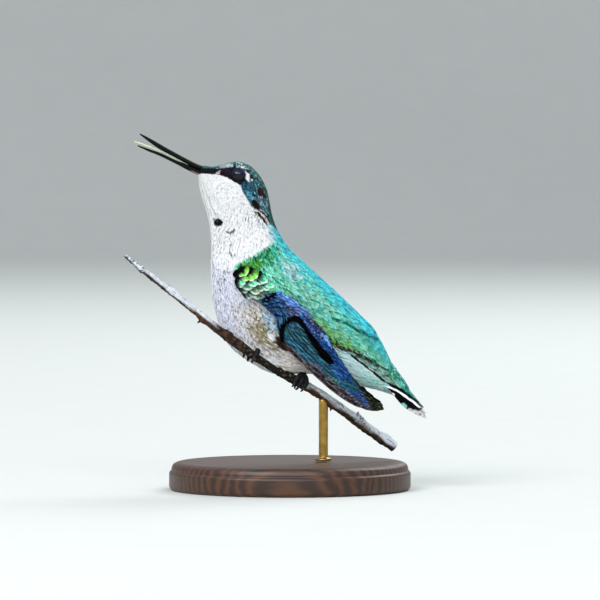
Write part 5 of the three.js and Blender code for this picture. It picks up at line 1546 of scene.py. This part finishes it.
def tail_piece():
    """The tail: five feathers a side, with coverts over and under their roots."""
    heap = Heap()
    cells = 2 * len(TAIL_FEATHERS) + sum(row[0] for row in TAIL_COVERTS)
    for side in (RIGHT, LEFT):
        for order, (tip, across, lift) in enumerate(TAIL_FEATHERS):
            add_vane(heap, cells, tail_place, rectrix_line(tip, side * across), TAIL_HALF_WIDTH, (lift, lift),
                     rectrix_paint(order, lift), rows=72, columns=18, outline=TAIL_OUTLINE)
    for count, root, tip, spread, lifts, half_width, under in TAIL_COVERTS:
        place = under_tail_place if under else tail_place
        for k in range(count):
            across = lerp(-spread, spread, k / (count - 1))
            line = straight((root, 0.7 * across), (tip - 0.1 * across**2 + rng.uniform(-0.3, 0.3), across))
            tone, number = rng.uniform(0.85, 1.12), len(heap.points)
            paint = under_covert_paint(number) if under else upper_covert_paint(tone, number, lifts)
            add_vane(heap, cells, place, line, half_width, lifts, paint, rows=22, columns=12,
                     outline=COVERT_OUTLINE, camber=0.14)
    heap.piece("feathers_tail", FLIGHT, "tail", ("tail",))


# ---------------------------------------------------------------- bill, tongue and eyes

UP = np.array([0, 0, 1.0])


def rod_rings(path, sizes, sides, steps, height_axis, profile=None):
    """Rings round a curve: sizes are half height and half width, scaled by profile(turn)."""
    u = np.linspace(0, 1, steps + 1)
    middle, size = spline(path, u), spline(sizes, u)
    forward = unit(spline(path, np.minimum(u + 1e-3, 1)) - spline(path, np.maximum(u - 1e-3, 0)))
    across = unit(np.cross(forward, height_axis))
    up = np.cross(across, forward)
    turn = np.linspace(0, 2 * math.pi, sides, endpoint=False)[None, :]
    shape = 1.0 if profile is None else profile(turn)
    high = size[:, 0, None] * np.cos(turn) * shape
    wide = size[:, 1, None] * np.sin(turn) * shape
    return middle[:, None] + up[:, None] * high[..., None] + across[:, None] * wide[..., None]


def horn_rings(line, steps, sides, ridge=None):
    """Rings of a rod of horn or flesh along a line in the bird's middle plane."""
    path = np.stack([line[:, 0], np.zeros(len(line)), line[:, 1]], -1)
    return rod_rings(path, line[:, 2:4], sides, steps, UP, ridge)


def horn_piece(name, rings, paint_of, material, slot, replaced):
    """A piece through the rings, painted by paint_of(up, x), where up is -1 below and 1 above."""
    turn = np.linspace(0, 2 * math.pi, rings.shape[1], endpoint=False)
    colour = paint_of(np.cos(turn) * np.ones((len(rings), 1)), rings[..., 0]).reshape(-1, 3)
    points, triangles = loft(rings)
    paint = np.vstack([colour, colour[0], colour[-1]])
    mesh_piece(name, points, triangles, material, slot, replaced, paint=paint)


NOSTRIL = (-17.6, 43.75)
BILL_AHEAD, BILL_RISE = -0.914, 0.406


def with_nostrils(rings):
    """A slit under a swollen flap on each side of the bill's root."""
    x, y, z = rings[..., 0] - NOSTRIL[0], rings[..., 1], rings[..., 2] - NOSTRIL[1]
    run, rise = x * BILL_AHEAD + z * BILL_RISE, x * BILL_RISE - z * BILL_AHEAD
    slit = np.exp(-((run / 0.7) ** 4) - ((rise + 0.02) / 0.12) ** 2)
    flap = np.exp(-((run / 0.8) ** 4) - ((rise - 0.2) / 0.14) ** 2)
    rings[..., 1] = y + np.sign(y) * (0.06 * flap - 0.22 * slit) * (np.abs(y) > 0.35)
    return rings


HORN_BLACK, HORN_SHEEN_GREEN, HORN_PINK = ink("08090a"), ink("2a7a34"), ink("b7908c")


def bill():
    """Both mandibles, the upper with a ridge and nostrils and the lower with a keel, and the tongue."""
    horn = horn_material()

    def upper_paint(up, x):
        # a green sheen painted along the upper mandible's ridge, fading out towards the tip
        green = 0.7 * smooth(0.80, 0.98, up) * smooth(-27.0, -20.0, x)
        return lerp(HORN_BLACK, HORN_SHEEN_GREEN, green[..., None])

    def lower_paint(up, x):
        pink = 0.7 * smooth(-18.4, -17.4, x) * smooth(-0.35, -0.55, up) * smooth(-0.98, -0.8, up)
        # a painted highlight: a pale grey-green line along the top edge of the lower mandible, short of its
        # tip and root
        pale = smooth(0.8, 0.97, up) * smooth(-28, -25.5, x) * smooth(-18.5, -20.5, x)
        return lerp(lerp(HORN_BLACK, HORN_PINK, pink[..., None]), ink("5f7f7c"), 0.6 * pale[..., None])

    upper = horn_rings(UPPER_MANDIBLE, 90, 40, lambda turn: 1 + 0.10 * np.maximum(np.cos(turn), 0) ** 8)
    lower = horn_rings(LOWER_MANDIBLE, 90, 40, lambda turn: 1 + 0.06 * np.maximum(-np.cos(turn), 0) ** 8)
    horn_piece("horn_upper", with_nostrils(upper), upper_paint, horn, "bill", ("bill_upper",))
    horn_piece("horn_lower", lower, lower_paint, horn, "bill", ("bill_lower",))
    horn_piece("tongue_tip", horn_rings(TONGUE, 40, 16), lambda up, x: np.ones((*x.shape, 3)),
               tongue_material(), "tongue", ("tongue",))


def eyeball(name, centre, ring, facing, up, material):
    """A ball painted navy above as a painted reflection of the sky, darkening to black downwards. ring holds
    the ways round its front, facing the way out.
    """
    tilt = np.linspace(0.02, math.pi - 0.02, 40)[:, None, None]
    points, triangles = loft(centre + EYE_RADIUS * (facing * np.cos(tilt) + np.sin(tilt) * ring))
    height = (points - centre) @ up / EYE_RADIUS
    # painted reflection of the sky: navy on the upper half, fading to black below
    paint = lerp(ink("03040a"), ink("0c2048"), smooth(-0.4, 0.5, height)[:, None])
    mesh_piece("eyeball_" + name, points, triangles, material, "eye", ("eye_" + name,), paint=paint)


def lids(name, centre, ring, facing, turn, material):
    """Two puckered folds of skin round an opening that is drawn out to the front and back."""
    opening = EYE_OPENING * (0.91 + 0.09 * np.abs(np.cos(turn)) ** 3)[:, None]
    seat = np.sqrt(EYE_RADIUS**2 - opening**2)
    out = np.linspace(0, 1, 14)[None, :]
    pucker = 1 + 0.14 * np.sin(turn * LID_PUCKERS)[:, None] * np.sin(out * math.pi)
    folds = 0.055 * np.sin(out * 2 * math.pi * 1.5) ** 2 * pucker
    reach = opening + LID_WIDTH * out
    over = np.sqrt(np.maximum(EYE_RADIUS**2 - np.minimum(reach, 1.58) ** 2, 0.01))
    rise = lerp(seat + 0.02, np.maximum(over, seat - 0.75 * out), 0.7) + 0.05 + folds
    top = centre + facing * rise[..., None] + reach[..., None] * ring[:, None]
    rim = np.concatenate([top, top[:, ::-1] - facing * LID_THICKNESS], 1)
    points = rim.reshape(-1, 3)
    grid = grid_triangles(len(turn) + 1, rim.shape[1], closed=True) % len(points)
    mesh_piece("lids_" + name, points, outward(points - centre, grid), material, "eye")


def eyes():
    """Both eyes, each a ball and its lids."""
    wet, skin = eye_material(), lid_material()
    turn = np.linspace(0, 2 * math.pi, 96, endpoint=False)
    for side, name in SIDE_NAMES.items():
        centre = EYE * [1, side, 1]
        facing = unit(np.array([-0.08, side, 0.27]))
        front = unit(np.array([-0.94, 0, 0.34]) - facing * facing[0] * -0.94)
        front = unit(front - facing * (front @ facing))
        up = np.cross(facing, front) * side
        ring = front * np.cos(turn)[:, None] + up * np.sin(turn)[:, None]
        eyeball(name, centre, ring, facing, up, wet)
        lids(name, centre, ring, facing, turn, skin)


# ---------------------------------------------------------------- twig and feet

TWIG_POINTS = np.stack([TWIG[:, 0], TWIG_Y + TWIG_SLANT * TWIG[:, 0], TWIG[:, 1]], -1)


def twig_at(x):
    """Where the twig passes x: the place, its way, its upward side and its radius."""
    last = 4000
    line = spline(TWIG_POINTS, np.linspace(0, 1, last + 1))
    k = np.argmin(np.abs(line[:, 0] - x))
    forward = unit(line[min(k + 1, last)] - line[k - 1])
    return line[k], forward, unit(UP - forward * forward[2]), along(TWIG[:, [0, 2]], x)


# Each toe: how far along the twig from the foot's middle, outwards or behind, and the angle it reaches round.
TOES = ((-1.15, 1, 2.0), (0, 1, 2.2), (1.1, 1, 2.0), (0.2, -1, 1.9))
CLAW = np.array([[0.30, 0.22], [0.25, 0.17], [0.15, 0.11], [0.02, 0.02]])
CLAW_BENDS = ((-0.15, 0), (0.3, 0.22), (0.62, 0.12), (0.85, -0.12))
SHANK = (0.34, 0.36, 0.5, 0.7)
HUB_RADIUS = 0.85
TOE_SINK = 0.22


def even(radii):
    """Round sizes for rod_rings."""
    return np.array([[radius, radius] for radius in radii])


def foot(side):
    """Three toes over the twig's outer side and one behind, ringed with scales, each with a curved claw."""
    point, forward, up, radius = twig_at(FOOT_X[side])
    outer = np.cross(forward, up)
    if outer[1] * side < 0:
        outer = -outer
    reach = radius + GAP + TOE_RADIUS - TOE_SINK

    def around(turn, offset, away=0.0):
        return point + forward * offset + (reach + away) * (up * math.cos(turn) + outer * math.sin(turn))

    skin, horn = Heap(), Heap()
    for offset, way, end in TOES:
        bends = ((0.05, 0), (0.3 * end, 0.5), (0.65 * end, 1), (end, 1))
        path = np.array([around(way * a, offset * run) for a, run in bends])
        rings = rod_rings(path, TOE_RADIUS * even((1, 0.92, 0.84, 0.7)), 16, 42, forward)
        middle = rings.mean(1, keepdims=True)
        scales = 1 + 0.07 * np.abs(np.sin(np.linspace(0, 9 * math.pi, len(rings))))[:, None, None]
        skin.add(*loft(middle + (rings - middle) * scales))
        tips = np.array([around(way * (end + a), offset, away) for a, away in CLAW_BENDS])
        horn.add(*loft(rod_rings(tips, CLAW, 12, 20, forward)))
    hub = around(0, 0, 0.1)
    tilts, turns = np.linspace(0.05, math.pi - 0.05, 14), np.linspace(0, 2 * math.pi, 20, endpoint=False)
    tilt, turn = np.meshgrid(tilts, turns, indexing="ij")
    ball = np.stack([np.sin(tilt) * np.cos(turn), np.sin(tilt) * np.sin(turn), np.cos(tilt)], -1)
    skin.add(*loft(hub + HUB_RADIUS * ball))
    shank = np.array([hub + up * k + outer * 0.1 * k for k in (0, 1.0, 2.2, 3.4)])
    skin.add(*loft(rod_rings(shank, even(SHANK), 12, 12, forward)))
    name = SIDE_NAMES[side]
    skin.piece("toes_" + name, foot_material(), "foot", ("foot_" + name,))
    horn.piece("claws_" + name, claw_material(), "foot")


BARK_TOP, BARK_BROWN, BARK_DARK = ink("d2d8e0"), ink("5e3c28"), ink("17100c")
# The twig's knots: x, width, height and the side that they are on. Its spurs: x, up or down, height, radius
# of the root and how far they lean along it.
KNOTS = (
    (-15.3, 0.7, 0.22, 3.1), (-10.2, 1.0, 0.18, 0.2), (12.5, 0.8, 0.2, 3.0), (17.3, 1.1, 0.26, 0.1),
    (23.6, 1.3, 0.22, 0.4), (-22.0, 0.8, 0.14, 0.4), (-28.3, 0.6, 0.12, 2.0), (1.0, 1.2, 0.12, 0.3),
)
SPURS = (
    (-15.3, -1, 1.1, 0.34, -0.2), (-9.8, 1, 0.75, 0.42, 0.3), (12.7, -1, 1.0, 0.3, 0.2),
    (17.2, 1, 0.95, 0.5, -0.3), (-23.0, 1, 0.5, 0.3, 0.4), (23.8, 1, 0.6, 0.5, 0.6),
)
TWIG_LENGTH = 68.0


def bark_paint(rings, ways, x):
    """Bark painted pale above and dark below as painted light and shade, brown and in painted shade under the
    bird, with moss and dark scars.
    """
    def patchy(low, high, size, seed, stretch=(1, 1, 1)):
        return smooth(low, high, patches(rings * stretch, size, seed))[..., None]

    rust = np.clip(0.55 + 0.5 * patches(rings, 1.1, 24), 0, 1)[..., None]
    # painted light and shade: pale where the bark faces up, dark where it faces down
    upward = ways[..., 2] + 0.35 * patches(rings, 1.6, 23) + 0.35 * smooth(-14, -18, x)
    colour = lerp(lerp(BARK_DARK, BARK_BROWN, rust), BARK_TOP, smooth(-0.35, 0.25, upward)[..., None])
    # painted shade under the bird, dark and patchy
    shaded = lerp(ink("0a0705"), ink("6b5c3c"), patchy(0.35, 0.8, 0.5, 26))
    brown = lerp(ink("1a100a"), ink("4c3222"), patchy(-0.5, 0.6, 0.45, 28, (0.5, 1, 1)))
    shaded = lerp(brown, shaded, smooth(-8.5, -5.5, x + 2 * patches(rings, 0.8, 27))[..., None])
    colour = lerp(colour, shaded, (smooth(-14.5, -12, x) * smooth(6.5, 4.8, x))[..., None])
    moss = patchy(0.1, 0.5, 0.6, 29, (0.6, 1, 1)) * smooth(3, 1, np.abs(x - 15))[..., None]
    colour = lerp(colour, ink("1c2c16"), 0.85 * moss)
    scarred = np.maximum(smooth(-26.5, -29, x), smooth(2.2, 1.2, np.abs(x - 17.6)))[..., None]
    return lerp(colour, BARK_DARK * 0.5, 0.85 * patchy(0.12, 0.4, 0.42, 30, (0.6, 1, 1)) * scarred)


def twig():
    """The perch, with knots, spurs and uneven bark."""
    steps, sides = 420, 48
    rings = rod_rings(TWIG_POINTS, even(TWIG[:, 2]), sides, steps, UP)
    middle = rings.mean(1, keepdims=True)
    x = middle[..., 0]
    turn = np.linspace(0, 2 * math.pi, sides, endpoint=False)[None, :]
    ways = unit(rings - middle)
    radius = np.linalg.norm(rings - middle, axis=-1)
    rough = 0.10 * patches(rings, 0.9, 21) + 0.05 * patches(rings * [0.5, 1, 1], 0.35, 22)
    knots = sum(height * np.exp(-((x - knot_x) / width) ** 2) * (1 + 0.8 * np.cos(turn - facing))
                for knot_x, width, height, facing in KNOTS)
    rings = rings + ways * (rough + knots - 0.02)[..., None] * np.minimum(1, radius / 0.5)[..., None]
    paint = np.vstack([bark_paint(rings, ways, x).reshape(-1, 3), BARK_BROWN, BARK_BROWN])
    run = np.linspace(0, 1, steps + 1)[:, None] * TWIG_LENGTH
    blade = np.stack(np.broadcast_arrays(run, turn / 2, 0.0), -1)
    blade = np.vstack([blade.reshape(-1, 3), np.zeros((2, 3))])
    heap = Heap()
    heap.add(*loft(rings), paint=paint, blade=blade)
    for spur_x, way, height, root, lean in SPURS:
        point, forward, up, radius_here = twig_at(spur_x)
        base = point + up * way * radius_here * 0.7
        path = np.array([base + (up * way + forward * lean) * height * k for k in (0, 0.4, 0.75, 1.1)])
        spur = rod_rings(path, root * even((1.1, 0.85, 0.6, 0.18)), 20, 18, forward)
        points, triangles = loft(spur + 0.05 * patches(spur, 0.35, 25)[..., None])
        # spurs pointing down are painted dark as shade, those pointing up paler as painted light
        tone = BARK_DARK if way < 0 else lerp(BARK_DARK, BARK_TOP, 0.35)
        heap.add(points, triangles, paint=np.tile(tone, (len(points), 1)), blade=points * [1, 1, 0])
    heap.piece("twig_bark", bark_material(), "bark", ("perch_twig",))


# ---------------------------------------------------------------- stand, stage, lights and camera


def turned(radii, heights, sides):
    """Rings round the Z axis."""
    turn = np.linspace(0, 2 * math.pi, sides, endpoint=False)
    radii, heights = np.array(radii, float)[:, None], np.array(heights, float)[:, None]
    return np.stack([radii * np.cos(turn), radii * np.sin(turn), heights + 0 * turn], -1)


def rounded(corners, steps=6):
    """A profile whose inner corners are rounded: corners are [r, z, radius]."""
    line = [np.array(corners[0][:2], float)]
    for before, corner, after in zip(corners, corners[1:], corners[2:]):
        middle, reach = np.array(corner[:2], float), corner[2]
        start, end = (middle + unit(np.array(near[:2]) - middle) * reach for near in (before, after))
        for k in np.linspace(0, 1, steps + 1):
            line.append((1 - k) ** 2 * start + 2 * k * (1 - k) * middle + k * k * end)
    return np.array([*line, corners[-1][:2]])


BASE_RADIUS, BASE_HEIGHT = 26.0, 6.0
ROD_RADIUS, ROD_X = 1.0, 10.4
BASE_PROFILE = [
    [0.02, 0.0, 0], [BASE_RADIUS - 0.6, 0.0, 0.35], [BASE_RADIUS, 0.6, 0.35], [BASE_RADIUS, 3.8, 0.4],
    [BASE_RADIUS - 0.5, 4.25, 0.15], [BASE_RADIUS - 0.5, 4.65, 0.15], [BASE_RADIUS - 0.8, 5.5, 0.35],
    [BASE_RADIUS - 1.8, BASE_HEIGHT, 0.5], [0.02, BASE_HEIGHT, 0],
]
# The brass collar's radii and heights.
COLLAR = [[1.75, 0.0], [1.75, 0.35], [1.55, 0.55], [1.05, 0.62], [1.0, 0.75]]


def stand_base(to_bird):
    """The turned wooden base."""
    profile = rounded(BASE_PROFILE)
    points, triangles = loft(turned(profile[:, 0], profile[:, 1], 180) + to_bird)
    a, b, c = (points[triangles[:, k]] for k in range(3))
    level = np.abs(unit(np.cross(b - a, c - a))[:, 2]) > 0.999
    mesh_piece("base_wood", points, triangles, wood_material(), "base", ("stand_base",), flat=level)


def stand_rod(to_bird):
    """The brass rod with a collar at its foot, whose top is hollowed to the twig."""
    sides, steps = 48, 24
    point, forward, _, radius = twig_at(ROD_X)
    bottom = BASE_HEIGHT + GAP + to_bird[2]
    around = turned([ROD_RADIUS], [0], sides)[0]
    slope = forward[2] / np.hypot(forward[0], forward[1])
    aside = np.abs(around @ unit(np.cross(forward, UP)))
    hollow = np.sqrt(np.maximum((radius + GAP) ** 2 - aside**2, 0)) / math.hypot(1, slope)
    top = point[2] + slope * (around[:, :2] @ unit(forward[:2])) - hollow
    collar = turned(*zip(*COLLAR), sides) + [point[0], point[1], bottom]
    shaft = np.repeat(around[None] + point, steps, axis=0)
    shaft[..., 2] = lerp(bottom + COLLAR[-1][1], top, np.linspace(0.05, 1, steps)[:, None])
    points, triangles = loft(np.concatenate([collar, shaft]))
    mesh_piece("rod_brass", points, triangles, brass_material(), "rod", ("stand_rod",))


def stage():
    """A round sheet of paper, flat under the stand and curved up at its edge, in metres."""
    floor, bend, wall, sides = 1.8, 0.6, 1.3, 96
    profile = [(floor * k / 6 + 0.001, 0.0) for k in range(7)]
    profile += [(floor + bend * math.sin(a), bend - bend * math.cos(a)) for a in np.linspace(0.1, 1.57, 16)]
    profile += [(floor + bend, wall)]
    points = turned(*zip(*profile), sides).reshape(-1, 3)
    mesh = bpy.data.meshes.new("paper")
    mesh.from_pydata(points.tolist(), [], grid_triangles(len(profile), sides, closed=True).tolist())
    mesh.polygons.foreach_set("use_smooth", [True] * len(mesh.polygons))
    mesh.materials.append(stage_material())
    paper = bpy.data.objects.new("paper", mesh)
    bpy.context.scene.collection.objects.link(paper)


# What the lights aim at, in metres.
LIGHTS_AIM = (0, 0, 0.045)
# The picture's size, its scale, and where the grip is in it, from the left and the top.
IMAGE_WIDTH = IMAGE_HEIGHT = 600
MM_PER_PIXEL = 0.215
GRIP_PIXEL = (275, 368)
IMAGE_MIDDLE = (IMAGE_WIDTH / 2 - GRIP_PIXEL[0], 0, GRIP_PIXEL[1] - IMAGE_HEIGHT / 2)
IMAGE_CENTRE = np.array(IMAGE_MIDDLE) * MM_PER_PIXEL
# The camera's distance in metres, and its height over the horizon.
CAMERA_DISTANCE = 1.2
CAMERA_ELEVATION = math.radians(2)


def aim_at(way):
    """The turn of a light or camera that looks along a way."""
    return Vector(way).to_track_quat("-Z", "Y").to_euler()


def area_light(name, place, size, power, colour):
    light = bpy.data.lights.new(name, "AREA")
    light.shape, light.size, light.size_y = "RECTANGLE", size[0], size[1]
    light.energy, light.color = power, colour
    lamp = bpy.data.objects.new(name, light)
    bpy.context.scene.collection.objects.link(lamp)
    lamp.location = place
    lamp.rotation_euler = aim_at(np.array(LIGHTS_AIM) - place)


def lights():
    """A soft key from the left, a broad front light, a rim light from behind and a pale sky."""
    area_light("key", (-0.68, -0.85, 0.90), (0.75, 0.6), 14.0, (1.0, 0.98, 0.95))
    area_light("front", (0.15, -1.30, 0.84), (1.1, 0.5), 10.5, (0.88, 0.94, 1.0))
    area_light("rim", (0.55, 0.88, 0.94), (0.88, 0.55), 12.0, (0.95, 1.0, 1.0))
    sky = bpy.data.worlds.new("sky")
    bpy.context.scene.world = sky
    sky.use_nodes = True
    background = sky.node_tree.nodes["Background"]
    background.inputs["Color"].default_value = (0.88, 0.93, 1.0, 1)
    background.inputs["Strength"].default_value = 0.78


def camera():
    """A long lens from the photo's side, which frames the bird as the photo does."""
    data = bpy.data.cameras.new("camera")
    data.lens = data.sensor_width * CAMERA_DISTANCE / (IMAGE_WIDTH * MM_PER_PIXEL * MM)
    data.clip_start, data.clip_end = 0.1, 10
    eye = bpy.data.objects.new("camera", data)
    bpy.context.scene.collection.objects.link(eye)
    back = np.array([0, -math.cos(CAMERA_ELEVATION), math.sin(CAMERA_ELEVATION)]) * CAMERA_DISTANCE
    eye.location = world(IMAGE_CENTRE) + back
    eye.rotation_euler = aim_at(-back)
    bpy.context.scene.camera = eye
    bpy.context.scene.view_settings.view_transform = "Standard"


camera()
stage()
lights()
skin_piece()
coat()
wing_piece(LEFT)
wing_piece(RIGHT)
tail_piece()
bill()
eyes()
foot(LEFT)
foot(RIGHT)
twig()
stand_base(-GRIP / MM)
stand_rod(-GRIP / MM)
